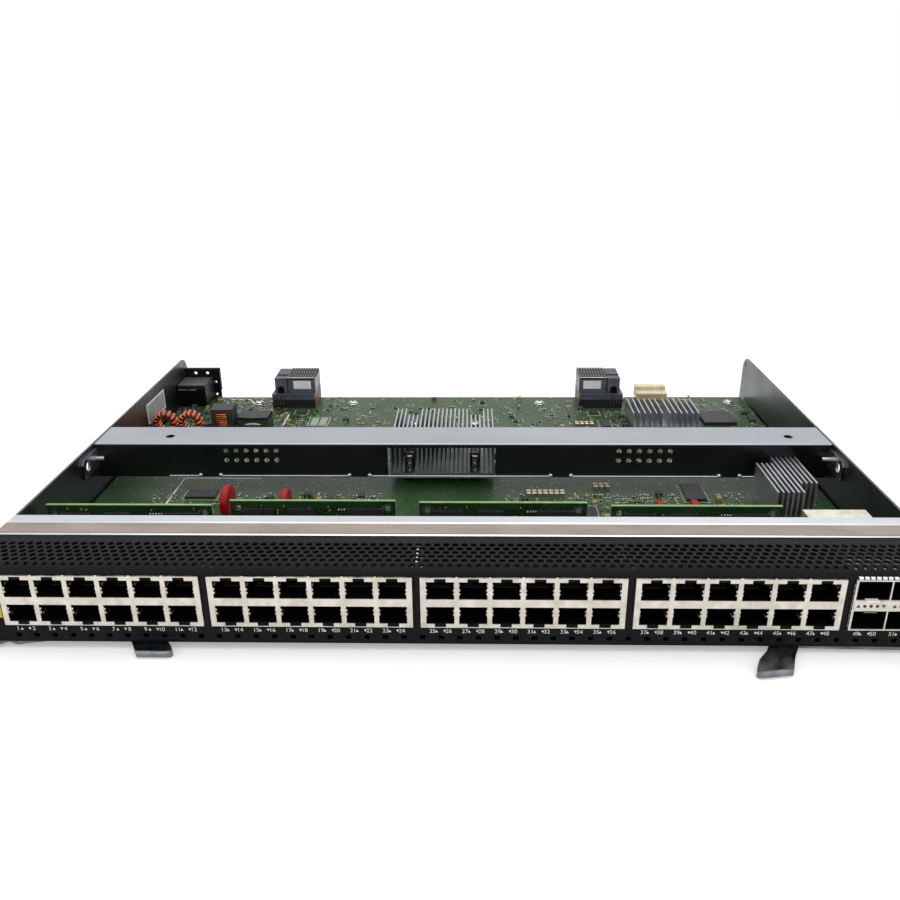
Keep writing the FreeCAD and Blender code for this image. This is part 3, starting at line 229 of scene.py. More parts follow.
# each finish: colour, roughness, metallic, then its cloud (darker, lighter, patch mm, stretch),
# its marks (smooth, rough, patch mm) and its relief (grain mm, depth mm, strength, stretch)
finishes = {
    # folded steel under epoxy powder: near black, with a fine orange-peel that breaks up the highlight
    "powderCoat": newFinish("blackPowderCoat", "#121013", 0.55, cloud=("#0f0d10", "#161417", 30),
                            relief=(0.35, 0.03, 0.3), sockets={"Specular IOR Level": 0.14}),
    # hot-dip galvanised strip, cold rolled: bright, faintly streaked along the rolling direction
    "galvanised": newFinish("galvanisedSteel", "#d3d6da", 0.3, 1.0, ("#c6c9cd", "#dcdfe3", 40, (0.2, 1, 1)),
                            (0.26, 0.4, 20), (0.3, 0.004, 0.2, (0.05, 1, 1))),
    "gasketCloth": makeWovenFabric("wovenConductiveCloth"),
    # the brace's zinc: pale and satin above, with a painted dark reflection on its upright web
    "braceZinc": darkenUpright(newFinish("braceZincPaintedWebShade", "#aeb1b9", 0.34, 1.0,
                                         ("#a6a9b1", "#b6b9c1", 60, (0.4, 1, 1)), (0.28, 0.4, 35)),
                               "#45474a"),
    # the tray's own sheet, pre-plated and rolled: darker grey with a green cast and long soft streaks
    "traySheet": newFinish("prePlatedSheet", "#6f7274", 0.38, 1.0, ("#626567", "#7b7e80", 50, (1, 0.3, 1)),
                           (0.28, 0.42, 30), (0.3, 0.003, 0.15, (1, 0.1, 1))),
    # stamped tin-plated bronze: warm and pale, with grey handling smudges
    "tinPlate": newFinish("stampedTinPlate", "#ece6da", 0.36, 1.0, ("#d6cfc3", "#f1ece2", 5), (0.3, 0.5, 4)),
    # moulded liquid-crystal polymer, black and matt; also the painted shade inside the transceiver bays and
    # in the guides' bores and notches
    "blackNylonAndShade": newFinish("mouldedJackPlasticAndPaintedShade", "#080708", 0.6, relief=(0.4, 0.01),
                           sockets={"Specular IOR Level": 0.12}),
    # phosphor bronze wire with a thin worn gold plate, darkened to a dull brown as painted shade inside the
    # ports
    "dullGold": newFinish("wornGoldContactPaintedShade", "#6a4a2a", 0.45, 0.8, ("#5a3e22", "#7c5834", 3)),
    # bright gold plate on drawn pins
    "goldWire": newFinish("goldPlatedWire", "#d8a24a", 0.28, 1.0, ("#c38f3e", "#e3b25e", 3)),
    "boardMask": makeSolderMask("solderMaskLaminate", "#2c4a26", "#33532d", "#243f1f", 0.9),
    "daughterMask": makeSolderMask("solderMaskLaminateFine", "#213f20", "#2c4f2a", "#1a351a", 0.7),
    # wide copper runs under the same mask, a shade lighter than the bare laminate
    "laminateTrace": newFinish("maskedCopperRun", "#31522c", 0.4, 0.0, ("#2b4a27", "#385b33", 4)),
    # the cut edge of glass-epoxy laminate: pale yellow-green where the light passes through the resin
    "laminateEdge": newFinish("routedLaminateEdge", "#87a866", 0.5, 0.0, ("#7a9b5b", "#96b577", 6)),
    # transfer-moulded epoxy with a ground silica filler: matt dark grey
    "mouldedEpoxy": newPlastic("mouldedEpoxyPackage", "#2c2b2f", 0.55, "#262529", "#343338", 4,
                               (0.2, 0.01, 0.3)),
    # extruded aluminium with a clear anodised skin: grey, with die lines along the fins
    "extruded": newFinish("clearAnodisedExtrusion", "#b9babf", 0.4, 1.0,
                          ("#acadb2", "#c5c6ca", 14, (1, 0.2, 1)),
                          (0.36, 0.5, 12), (0.25, 0.004, 0.2, (1, 0.05, 1))),
    # nickel-plated machined steel: bright and faintly warm
    "nickel": newFinish("nickelPlatedScrew", "#d9d7d2", 0.22, 1.0, ("#cbc9c4", "#e2e0dc", 3)),
    # dark drawn spring wire with a thin oil film
    "springWire": newFinish("oiledSpringWire", "#6d6b66", 0.3, 1.0, ("#5c5a56", "#7d7b75", 2)),
    # injection-moulded glass-filled polymer, satin dark grey
    "darkPolymer": newPlastic("glassFilledPolymer", "#3c3d42", 0.42, "#34353a", "#46474d", 5),
    # the same polymer in the guides' blue-grey
    "bluePolymer": newPlastic("blueGreyPolymer", "#585b68", 0.42, "#4f525e", "#636674", 6),
    # dark grey polymer painted a shade lighter as a highlight where tops catch the light: the wafers' raised
    # tops, the guides' caps and the power connector's top
    "greyPolymerLitTops": newPlastic("greyPolymerPaintedTopLight", "#45454b", 0.46, "#3c3c42", "#515157", 4),
    # liquid-crystal polymer in its natural cream
    "creamPolymer": newPlastic("naturalCreamPolymer", "#ddd2b4", 0.5, "#d4c8a8", "#e6dcc2", 6),
    # the same cream, a shade darker, down the header's ridged front
    "tanPolymer": newPlastic("tanSidePolymer", "#c2b38f", 0.5, "#b6a783", "#cdbf9c", 4),
    # glass-filled polyester, black with a satin face
    "blackPolymer": newPlastic("satinBlackPolymer", "#131316", 0.5, "#131316", "#1e1e22", 8, (0.3, 0.012)),
    # red-brown moulded grade of the connectors' inner ends
    "brownResin": newPlastic("redBrownPolymer", "#7a3a28", 0.45, "#6c3122", "#884633", 4),
    # tan epoxy that encloses tantalum capacitors
    "tanResin": newFinish("mouldedTanResin", "#a5814e", 0.45, 0.0, ("#957343", "#b4905c", 1.5)),
    # enamelled winding wire: copper under a clear varnish that keeps a sharp highlight
    "enamelWire": newFinish("enamelledCopperWire", "#d2571f", 0.3, 0.8, ("#b84a18", "#e56c30", 2.5),
                            sockets={"Coat Weight": 0.6, "Coat Roughness": 0.12}),
    # sintered ferrite, dry and dark grey
    "ferrite": newPlastic("sinteredFerrite", "#303133", 0.62, "#292a2c", "#3a3b3d", 3, (0.3, 0.02)),
    # dipped epoxy coating, red with a soft wet sheen
    "dippedRed": newFinish("dippedEpoxyCoating", "#9c070c", 0.4, 0.0, ("#8e0509", "#aa0a10", 5),
                           sockets={"Specular IOR Level": 0.25, "Coat Weight": 0.08, "Coat Roughness": 0.1}),
    # fired ceramic of chip capacitors, dull tan
    "tanCeramic": newFinish("firedTanCeramic", "#b58c58", 0.42, 0.0, ("#a37a49", "#c49c69", 1.5)),
    # reflowed tin solder, bright grey and a little grainy
    "solder": newFinish("reflowedSolder", "#d2d2cf", 0.32, 1.0, ("#bfbfbb", "#e0e0dd", 1.2)),
    # screen-printed epoxy ink, slightly chalky
    "whiteInk": newFinish("screenPrintedInk", "#e4e7e2", 0.6, 0.0, ("#d3d7d0", "#eef0ec", 1.5)),
    # the same ink in black, for marks on pale metal, and as painted shade in the screws' cross recesses
    "blackInkAndRecessShade": newFinish("printedBlackInkAndPaintedShade", "#1c1b1f", 0.5, 0.0, ("#17161a", "#232226", 1.5)),
    # smooth white label stock
    "labelPaper": newFinish("bareLabelPaper", "#f6f6f6", 0.5, 0.0, ("#f0f0f0", "#fbfbfb", 8)),
    # grey polyester label film
    "greyLabel": newFinish("greyLabelFilm", "#a3a5a8", 0.5, 0.0, ("#96989b", "#adafb2", 6)),
    # yellow polyester film
    "yellowFilm": newFinish("yellowLabelFilm", "#d9c922", 0.45, 0.0, ("#cdbc18", "#e2d53a", 3)),
    # zinc-plated steel handle, polished by hands, with darker streaks along it
    "zincLever": newFinish("handledZincPlate", "#83888f", 0.24, 1.0, ("#6a6e74", "#979ca2", 16, (1, 0.4, 1)),
                           (0.18, 0.36, 9), (0.3, 0.004, 0.2, (1, 0.2, 1))),
}

nodesInFinish = {
    "traySheet": "tray",
    "galvanised": "top_rail sfp_spring_collar",
    "gasketCloth": "rail_gasket",
    "braceZinc": "cross_brace",
    "powderCoat": "faceplate power_bracket",
    "zincLever": "ejector_lever_left ejector_lever_right",
    "nickel": "brace_screws board_standoffs board_screws heatsink_screws lever_pivots",
    "springWire": "heatsink_springs",
    "boardMask": "main_board",
    "daughterMask": "daughter_board planar_transformer_winding",
    "tinPlate": "jack_shield sfp_cage sfp_indicator_strip",
    "blackNylonAndShade": "jack_housing",
    "blackPolymer": "jack_contacts sfp_host_connectors daughter_headers power_connector coil_cradles",
    "darkPolymer": "backplane_connector_left backplane_connector_right",
    "bluePolymer": "guide_block_left guide_block_right",
    "creamPolymer": "pin_header_shroud",
    "extruded": "centre_heatsink front_heatsink rear_heatsink",
    "mouldedEpoxy": "switch_chip ball_grid_chips daughter_chips chip_packages",
    "ferrite": "coil_cores pulse_transformer_core planar_transformer_core",
    "enamelWire": "coil_windings pulse_transformer_winding",
    "tanCeramic": "chip_capacitors",
    "dippedRed": "disc_varistors",
}
finishOf = {kind: finish for finish, kinds in nodesInFinish.items() for kind in kinds.split()}
for name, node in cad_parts.items():
    kind = name.rstrip("_1234")  # numbered nodes share one finish
    node.data.materials.clear()
    node.data.materials.append(finishes[finishOf[kind]]["material"])
print("finishes: done")


# building meshes: a bag of points and faces becomes one piece

def newBag():
    return {"points": [], "faces": [], "finish": [], "soft": []}


def addFaces(bag, points, faces, finish=0, soft=False):
    base = len(bag["points"])
    bag["points"].extend(points)
    bag["faces"].extend([tuple(base + i for i in face) for face in faces])
    bag["finish"].extend([finish] * len(faces))
    bag["soft"].extend([soft] * len(faces))


def circle(sides):  # points of a unit circle
    turns = [2 * math.pi * s / sides for s in range(sides)]
    return [(math.cos(turn), math.sin(turn)) for turn in turns]


def ringFaces(rings, sides, closed=False):  # quads between rings of points, and a cap on each open end
    total = rings * sides
    faces = []
    for k in range(rings if closed else rings - 1):
        for s in range(sides):
            a, b = k * sides + s, k * sides + (s + 1) % sides
            faces.append((a, b, (b + sides) % total, (a + sides) % total))
    if not closed:
        faces += [tuple(reversed(range(sides))), tuple(range(total - sides, total))]
    return faces


def addBrick(bag, x0, x1, y0, y1, z0, z1, finish=0, chamfer=0.0):  # upright block with its top edges broken
    c = chamfer
    ring = ((x0, y0), (x1, y0), (x1, y1), (x0, y1))
    inner = ((x0 + c, y0 + c), (x1 - c, y0 + c), (x1 - c, y1 - c), (x0 + c, y1 - c))
    levels = ((ring, z0), (ring, z1 - c), (inner, z1)) if c else ((ring, z0), (ring, z1))
    addFaces(bag, [(x, y, z) for corners, z in levels for x, y in corners], ringFaces(len(levels), 4), finish)


def addBricks(bag, *rows):
    for row in rows:
        addBrick(bag, *row)


def addPrism(bag, outline, low, high, finish=0, axis="z"):  # outline of (a, b) pushed along an axis
    order = {"z": (0, 1, 2), "y": (0, 2, 1), "x": (2, 0, 1)}[axis]
    points = [tuple((a, b, c)[k] for k in order) for c in (low, high) for a, b in outline]
    addFaces(bag, points, ringFaces(2, len(outline)), finish)


def addTube(bag, path, radius, sides=8, finish=0, closed=False):
    path = [Vector(p) for p in path]
    count = len(path)
    across = None
    points = []
    for k, point in enumerate(path):
        ahead = path[(k + 1) % count] if closed or k + 1 < count else point
        behind = path[k - 1] if closed or k else point
        along = (ahead - behind).normalized()
        if across is None:
            across = along.orthogonal().normalized()
        across = (across - along * across.dot(along)).normalized()
        up = along.cross(across)
        points += [tuple(point + radius * (a * across + b * up)) for a, b in circle(sides)]
    addFaces(bag, points, ringFaces(count, sides, closed), finish, True)


def addTurned(bag, profile, centre, axis="z", sides=20, finish=0):  # profile of (radius, height)
    order = {"z": (0, 1, 2), "y": (1, 2, 0), "x": (2, 0, 1)}[axis]
    points = [tuple(c + (radius * a, radius * b, height)[k] for c, k in zip(centre, order))
              for radius, height in profile for a, b in circle(sides)]
    addFaces(bag, points, ringFaces(len(profile), sides), finish, True)


def newPiece(name, mesh, looks):
    for look in looks:
        mesh.materials.append(finishes[look]["material"])
    mesh.update()
    piece = bpy.data.objects.new(name, mesh)
    bpy.context.scene.collection.objects.link(piece)
    return piece


def bindPiece(piece, replaced=()):
    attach(piece, "card")
    if replaced:
        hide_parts(*replaced)


def showBag(bag, name, looks, replaced=(), bevelMm=0.0):
    mesh = bpy.data.meshes.new(name)
    mesh.from_pydata([place(*p) for p in bag["points"]], [], bag["faces"])
    mesh.polygons.foreach_set("material_index", bag["finish"])
    mesh.polygons.foreach_set("use_smooth", bag["soft"])
    piece = newPiece(name, mesh, looks)
    if bevelMm:
        bevel = piece.modifiers.new("brokenEdges", "BEVEL")
        bevel.width, bevel.segments, bevel.limit_method = bevelMm * mm, 2, "ANGLE"
    bindPiece(piece, replaced)


def portCentres(index):
    middle = card["blockRow"] + card["blockPitch"] * (index - (card["blocks"] - 1) / 2)
    return [middle + card["portPitch"] * (c - (card["columns"] - 1) / 2) for c in range(card["columns"])]


# camera, lights and the studio

studio = {
    "lensMm": 34.76,
    "sensorMm": 36.0,
    "nearClipM": 0.01,
    "eye": (7.46, -313.37, 221.6),
    "pitch": 0.39581,
    "yaw": -0.02818,
    "roll": -0.00969,
    "floorColour": "#f2f2f2",
    "floorLevel": -3.6,
    "floorReachM": 6.0,
    "floorLift": 0.31,
    "worldStrength": 0.8,
    "topWatts": 7.5,
    "topSizeM": 1.3,
    "topPlaceM": (0.05, 0.05, 1.35),
}


def addCamera(scene):
    cos, sin = math.cos, math.sin
    yaw, pitch, roll = studio["yaw"], studio["pitch"], studio["roll"]
    ahead = Vector((sin(yaw) * cos(pitch), cos(yaw) * cos(pitch), -sin(pitch)))
    right = Vector((cos(yaw), -sin(yaw), 0))
    up = right.cross(ahead)
    tiltRight = cos(roll) * right + sin(roll) * up
    tiltUp = -sin(roll) * right + cos(roll) * up
    lens = bpy.data.cameras.new("studioCamera")
    lens.lens, lens.sensor_width, lens.clip_start = studio["lensMm"], studio["sensorMm"], studio["nearClipM"]
    camera = bpy.data.objects.new("studioCamera", lens)
    scene.collection.objects.link(camera)
    axes = Matrix((tiltRight, tiltUp, -ahead)).transposed().to_4x4()
    camera.matrix_world = Matrix.Translation(place(*studio["eye"])) @ axes
    scene.camera = camera


def makeStudio():
    scene = bpy.context.scene
    scene.view_settings.view_transform = "Standard"
    addCamera(scene)
    lamp = bpy.data.lights.new("topSoftbox", "AREA")
    lamp.shape, lamp.size, lamp.energy = "SQUARE", studio["topSizeM"], studio["topWatts"]
    topLight = bpy.data.objects.new("topSoftbox", lamp)
    topLight.location = studio["topPlaceM"]
    scene.collection.objects.link(topLight)

    world = bpy.data.worlds.new("studioWorld")
    scene.world = world
    world.use_nodes = True
    tree = world.node_tree
    tree.nodes.clear()
    path = addNode(tree, "ShaderNodeLightPath")
    seen = addNode(tree, "ShaderNodeMath", {"operation": "MAXIMUM"},
                   {0: (path, "Is Camera Ray"), 1: (path, "Is Glossy Ray")})
    shown = addNode(tree, "ShaderNodeMath", {"operation": "MAXIMUM"},
                    {0: (seen, 0), 1: (path, "Is Transmission Ray")})
    level = addNode(tree, "ShaderNodeMapRange", {"To Min": studio["worldStrength"], "To Max": 1.0},
                    {"Value": (shown, 0)})
    back = addNode(tree, "ShaderNodeBackground", {"Color": (1, 1, 1, 1)}, {"Strength": (level, "Result")})
    addNode(tree, "ShaderNodeOutputWorld", None, {"Surface": (back, "Background")})

    paper = bpy.data.materials.new("studioPaper")
    paper.use_nodes = True
    tree = paper.node_tree
    tree.nodes.clear()
    path = addNode(tree, "ShaderNodeLightPath")
    sheet = addNode(tree, "ShaderNodeBsdfDiffuse", {"Color": toLinear(studio["floorColour"])})
    lift = addNode(tree, "ShaderNodeMath", {"operation": "MULTIPLY", 1: studio["floorLift"]},
                   {0: (path, "Is Camera Ray")})
    glow = addNode(tree, "ShaderNodeEmission", {"Color": (1, 1, 1, 1)}, {"Strength": (lift, 0)})
    both = addNode(tree, "ShaderNodeAddShader", None, {0: (sheet, 0), 1: (glow, 0)})
    addNode(tree, "ShaderNodeOutputMaterial", None, {"Surface": (both, 0)})
    mesh = bpy.data.meshes.new("studioFloor")
    reach, level = studio["floorReachM"], studio["floorLevel"] * mm
    corners = ((-reach, -reach), (reach, -reach), (reach, reach), (-reach, reach))
    mesh.from_pydata([(x, y, level) for x, y in corners], [], [(0, 1, 2, 3)])
    mesh.materials.append(paper)
    floor = bpy.data.objects.new("studioFloor", mesh)
    scene.collection.objects.link(floor)


makeStudio()
print("studio: done")

# faceplate: perforated deck, rounded nose and the port wall

plate = {
    "deckTop": 37.3,
    "deckDepth": 27.2,
    "noseRadius": 6.0,
    "sheet": 1.2,
    "holePitch": 4.0,
    "holeRowPitch": 3.4,
    "holeRows": 6,
    "plainRows": 3,  # cells without holes, before and after the rows
    "firstRowIn": 6.9,
    "holeShare": 0.76,
    "lastRowShare": 0.5,
    "cornerShare": 0.94,  # how far the holes' corners reach, so that they look rounded
    "holeMargin": 5.0,
    "windowGap": 0.3,
    "windowTop": 33.3,
    "windowLow": 8.3,
    "noseLevels": (32.6, 31.9),  # extra bends where the nose runs past the windows
    "slotLow": 2.0,
    "slotHigh": 4.2,
    "slotPitch": 8.0,
    "slotWidth": 2.4,
    "firstSlot": -189.9,
    "slotMargin": 10,
    "sharpDegrees": 35,
    "lampX": -16.2,
    "lampRows": (16.1, 12.9, 9.2, 5.8),
    "lampRadius": 0.42,
    "lampHeights": (-0.5, 0.02),
    "filmInset": 0.4,
    "filmFront": 2.6,
    "filmRear": 30.0,
    "filmThick": 0.1,
    "yellowFilm": (-199.5, -195.2, -0.08, 0.0, 12.0, 19.5),
}
weldMm = 0.001


def deckRun():
    return plate["deckDepth"] - plate["noseRadius"]


def overNose(u, v):  # from a flat sheet to the folded one; v starts at the deck's rear edge
    r = plate["noseRadius"]
    flat, turn = deckRun(), r * math.pi / 2
    if v <= flat:
        return (u, plate["deckDepth"] - v, plate["deckTop"])
    if v <= flat + turn:
        angle = (v - flat) / r
        return (u, r - r * math.sin(angle), plate["deckTop"] - r + r * math.cos(angle))
    return (u, 0.0, plate["deckTop"] - r - (v - flat - turn))


def runAt(z):  # distance along the sheet where the face reaches height z
    r = plate["noseRadius"]
    drop = z - (plate["deckTop"] - r)
    if drop > 0:
        return deckRun() + r * (math.pi / 2 - math.asin(min(1.0, drop / r)))
    return deckRun() + r * math.pi / 2 - drop


def addDeckCells(mesh, half):  # a honeycomb of cells, each with its hole
    pitch, rowPitch = plate["holePitch"], plate["holeRowPitch"]
    shoulder = (rowPitch ** 2 - (pitch / 2) ** 2) / (2 * rowPitch)
    tip = ((pitch / 2) ** 2 + rowPitch ** 2) / (2 * rowPitch)
    corners = [(pitch / 2, shoulder), (0, tip), (-pitch / 2, shoulder),
               (-pitch / 2, -shoulder), (0, -tip), (pitch / 2, -shoulder)]
    rim = []
    for a, b in zip(corners, corners[1:] + corners[:1]):
        rim += [(a, plate["cornerShare"]), (((a[0] + b[0]) / 2, (a[1] + b[1]) / 2), 1.0)]
    columns, count = int(half / pitch) + 2, len(rim)
    for row in range(-plate["plainRows"], plate["holeRows"] + plate["plainRows"]):
        v = plate["firstRowIn"] + rowPitch * row
        share = plate["holeShare"] if row < plate["holeRows"] - 1 else plate["lastRowShare"]
        for column in range(-columns, columns + 1):
            u = column * pitch + pitch / 2 * (row % 2)
            outer = [mesh.verts.new((u + p[0], v + p[1], 0)) for p, _ in rim]
            if 0 <= row < plate["holeRows"] and abs(u) < half - plate["holeMargin"]:
                inner = [mesh.verts.new((u + p[0] * share * k, v + p[1] * share * k, 0)) for p, k in rim]
                for k in range(count):
                    n = (k + 1) % count
                    mesh.faces.new((outer[k], outer[n], inner[n], inner[k]))
            else:
                centre = mesh.verts.new((u, v, 0))
                for k in range(count):
                    mesh.faces.new((outer[k], outer[(k + 1) % count], centre))


def addPortWall(mesh, half):  # panels round the windows and the row of slots
    windows = []
    for node in shields + ["sfp_cage"]:
        x0, x1 = spanOf(node)[:2]
        windows.append((x0 - plate["windowGap"], x1 + plate["windowGap"]))
    slots = []
    x = plate["firstSlot"]
    while x < half - plate["slotMargin"]:
        slots.append((x - plate["slotWidth"] / 2, x + plate["slotWidth"] / 2))
        x += plate["slotPitch"]
    xs = sorted({-half, half} | {edge for pair in windows + slots for edge in pair})
    levels = [plate["windowTop"], *plate["noseLevels"], plate["deckTop"] - plate["noseRadius"],
              plate["windowLow"], plate["slotHigh"], plate["slotLow"], 0.0]
    grid = {}

    def corner(x, z):
        key = (round(x, 4), round(z, 4))
        if key not in grid:
            grid[key] = mesh.verts.new((x, runAt(z), 0))
        return grid[key]

    for high, low in zip(levels, levels[1:]):
        for x0, x1 in zip(xs, xs[1:]):
            middle = (x0 + x1) / 2
            inWindow = high > plate["windowLow"] and any(a < middle < b for a, b in windows)
            inSlot = high == plate["slotHigh"] and any(a < middle < b for a, b in slots)
            if not (inWindow or inSlot):
                mesh.faces.new((corner(x0, high), corner(x1, high), corner(x1, low), corner(x0, low)))


def makeFaceplate():
    half = card["width"] / 2
    mesh = bmesh.new()
    addDeckCells(mesh, half)
    bmesh.ops.remove_doubles(mesh, verts=mesh.verts, dist=weldMm)
    for point, normal in (((half, 0, 0), (1, 0, 0)), ((-half, 0, 0), (-1, 0, 0)), ((0, 0, 0), (0, -1, 0)),
                          ((0, runAt(plate["windowTop"]), 0), (0, 1, 0))):
        bmesh.ops.bisect_plane(mesh, geom=mesh.verts[:] + mesh.edges[:] + mesh.faces[:], plane_co=point,
                               plane_no=normal, clear_outer=True, dist=weldMm / 10)
    addPortWall(mesh, half)
    bmesh.ops.remove_doubles(mesh, verts=mesh.verts, dist=weldMm)
    for vert in mesh.verts:
        vert.co = place(*overNose(vert.co.x, vert.co.y))
    bmesh.ops.recalc_face_normals(mesh, faces=mesh.faces)
    rearmost = max(mesh.faces, key=lambda f: f.calc_center_median().y)
    if rearmost.normal.z < 0:
        bmesh.ops.reverse_faces(mesh, faces=mesh.faces)
    data = bpy.data.meshes.new("perforated_faceplate")
    mesh.to_mesh(data)
    mesh.free()
    piece = newPiece("perforated_faceplate", data, ["powderCoat"])
    for polygon in data.polygons:
        polygon.use_smooth = True
    data.set_sharp_from_angle(angle=math.radians(plate["sharpDegrees"]))
    thick = piece.modifiers.new("sheetThickness", "SOLIDIFY")
    thick.thickness, thick.offset = plate["sheet"] * mm, -1.0
    bindPiece(piece, ["faceplate"])


def makePlateTrim():  # light dots between the middle blocks, a film over each block, a yellow edge film
    dots, films, edge = newBag(), newBag(), newBag()
    for y in plate["lampRows"]:
        addTurned(dots, [(plate["lampRadius"], height) for height in plate["lampHeights"]],
                  (plate["lampX"], y, plate["deckTop"]), "z", 10)
    showBag(dots, "deck_lamp_dots", ["labelPaper"])
    inset, y0, y1 = plate["filmInset"], plate["filmFront"], plate["filmRear"]
    for node in shields:
        x0, x1, _, _, _, top = spanOf(node)
        addBrick(films, x0 + inset, x1 - inset, y0, y1, top, top + plate["filmThick"])
    showBag(films, "jack_block_films", ["blackPolymer"])
    addBrick(edge, *plate["yellowFilm"])
    showBag(edge, "yellow_edge_film", ["yellowFilm"])


makeFaceplate()
makePlateTrim()
print("faceplate: done")

numbers = {
    "height": 2.75,
    "middle": 6.5,
    "apart": 3.5,
    "arrow": 0.62,
    "arrowIn": 1.75,
    "raise": 0.06,
}


def makePortNumbers():
    letters = bpy.data.curves.new("numberInk", "FONT")
    letters.align_x, letters.align_y = "CENTER", "CENTER"
    letters.size = numbers["height"] * mm
    writer = bpy.data.objects.new("numberInk", letters)
    bpy.context.scene.collection.objects.link(writer)
    ink = newBag()
    columns = [x for index in range(card["blocks"]) for x in portCentres(index)]
    x0, x1 = spanOf("sfp_cage")[:2]
    quarter = (x1 - x0) / 4
    columns += [x0 + quarter, x1 - quarter]
    middle, a = numbers["middle"], numbers["arrow"]
    for k, x in enumerate(columns):
        for side, value in ((-1, 2 * k + 1), (1, 2 * k + 2)):
            letters.body = str(value)
            bpy.context.view_layer.update()
            written = writer.evaluated_get(bpy.context.evaluated_depsgraph_get())
            shape = bpy.data.meshes.new_from_object(written)
            points = [(x + side * numbers["apart"] + v.co.x / mm, -numbers["raise"], middle + v.co.y / mm)
                      for v in shape.vertices]
            addFaces(ink, points, [tuple(p.vertices) for p in shape.polygons])
            bpy.data.meshes.remove(shape)
            ax = x + side * numbers["arrowIn"]
            addPrism(ink, [(ax - a, middle + side * a), (ax + a, middle + side * a), (ax, middle - side * a)],
                     -numbers["raise"], 0.0, 0, "y")
    bpy.data.objects.remove(writer)
    showBag(ink, "port_numbers", ["whiteInk"])


makePortNumbers()

# jack blocks; depths are counted from the shield's face, heights from the beam between the rows

jack = {
    "nubRadius": 0.68,
    "nubRises": (2.3, 4.1),
    "nubIn": 0.45,
    "nubOut": 0.1,
    "nubThick": 0.35,
    "nubCrown": 0.12,
    "tabWidth": 1.0,
    "tabRise": 0.5,
    "wires": 8,
    "wirePitch": 1.02,
    "wireRadius": 0.15,
    "wireRise": 0.95,
    "wirePath": ((10.2, 0.0), (12.0, 0.6), (17.5, 2.9)),  # depth, then rise
    "springThick": 0.3,
    "springRise": 5.4,
    "springHalf": 0.6,
    "springDepths": (2.2, 5.0),
}


def addPortTrim(trim, wires, x, face, middle):  # one column of ports
    half, r = card["portWidth"] / 2, jack["nubRadius"]
    nub = [(r, 0), (r, jack["nubThick"]), (r * 0.6, jack["nubThick"] + jack["nubCrown"])]
    y0, y1 = jack["springDepths"]
    for row in (-1, 1):
        for side in (-1, 1):
            for rise in jack["nubRises"]:  # stamped nubs that grip the plug's shell
                z = middle + row * (card["beam"] / 2 + rise)
                nubX = x + side * half + side * jack["nubOut"]
                addTurned(trim, nub, (nubX, face + jack["nubIn"], z), "y", 8)
            z = middle + row * (card["beam"] / 2 + jack["springRise"])
            wall = x + side * (half - 0.02)  # side spring just inside the opening
            inner = wall - side * jack["springThick"]
            addBrick(trim, min(wall, inner), max(wall, inner), face + y0, face + y1, z - jack["springHalf"],
                     z + jack["springHalf"])
        z = middle + row * (card["beam"] / 2 + jack["wireRise"])
        for k in range(jack["wires"]):
            wx = x + jack["wirePitch"] * (k - (jack["wires"] - 1) / 2)
            path = [(wx, face + depth, z + row * rise) for depth, rise in jack["wirePath"]]
            addTube(wires, path, jack["wireRadius"], 5)


def makeJackDetails():
    for number, node in enumerate(shields, 1):
        _, _, face, _, low, high = spanOf(node)
        centres = portCentres(number - 1)
        trim, wires = newBag(), newBag()
        for x in centres:
            addPortTrim(trim, wires, x, face, low + (high - low) / 2)
        for x in centres[:-1]:  # grounding tabs that reach the faceplate above each divider
            tab, w = x + card["portPitch"] / 2, jack["tabWidth"] / 2
            addBrick(trim, tab - w, tab + w, face - 0.1, face + 0.35, high - 0.3, high + jack["tabRise"],
                     0, 0.15)
        showBag(trim, "jack_shield_springs_%d" % number, ["tinPlate"])
        showBag(wires, "jack_contact_wires_%d" % number, ["dullGold"])


makeJackDetails()
print("jack blocks: done")

# transceiver cage

cage = {
    "fingerPitch": 2.4,
    "fingerWidth": 1.75,
    "fingerIn": 1.6,
    # depth behind the port wall, then height over the cage
    "fingerShape": ((-0.55, 0.05), (-0.75, 0.7), (0.2, 1.25), (0.9, 0.9), (0.9, 0.6), (0.2, 0.9),
                    (-0.4, 0.5)),
    "sideFingers": 9,
    "columns": 2,
    "symbols": 5,
    "symbolPitch": 2.6,
    "symbolSize": 0.85,
    "symbolThick": 0.06,
    "latchWidth": 5.4,
    "pitch": 14.3,
    "wall": 0.6,
    "openHeight": 8.9,
    "belly": 5.4,
    "bayDepth": 40.0,
    # thickness of the black sheets painted as shade inside the bays
    "bayShadeThick": 0.12,
}


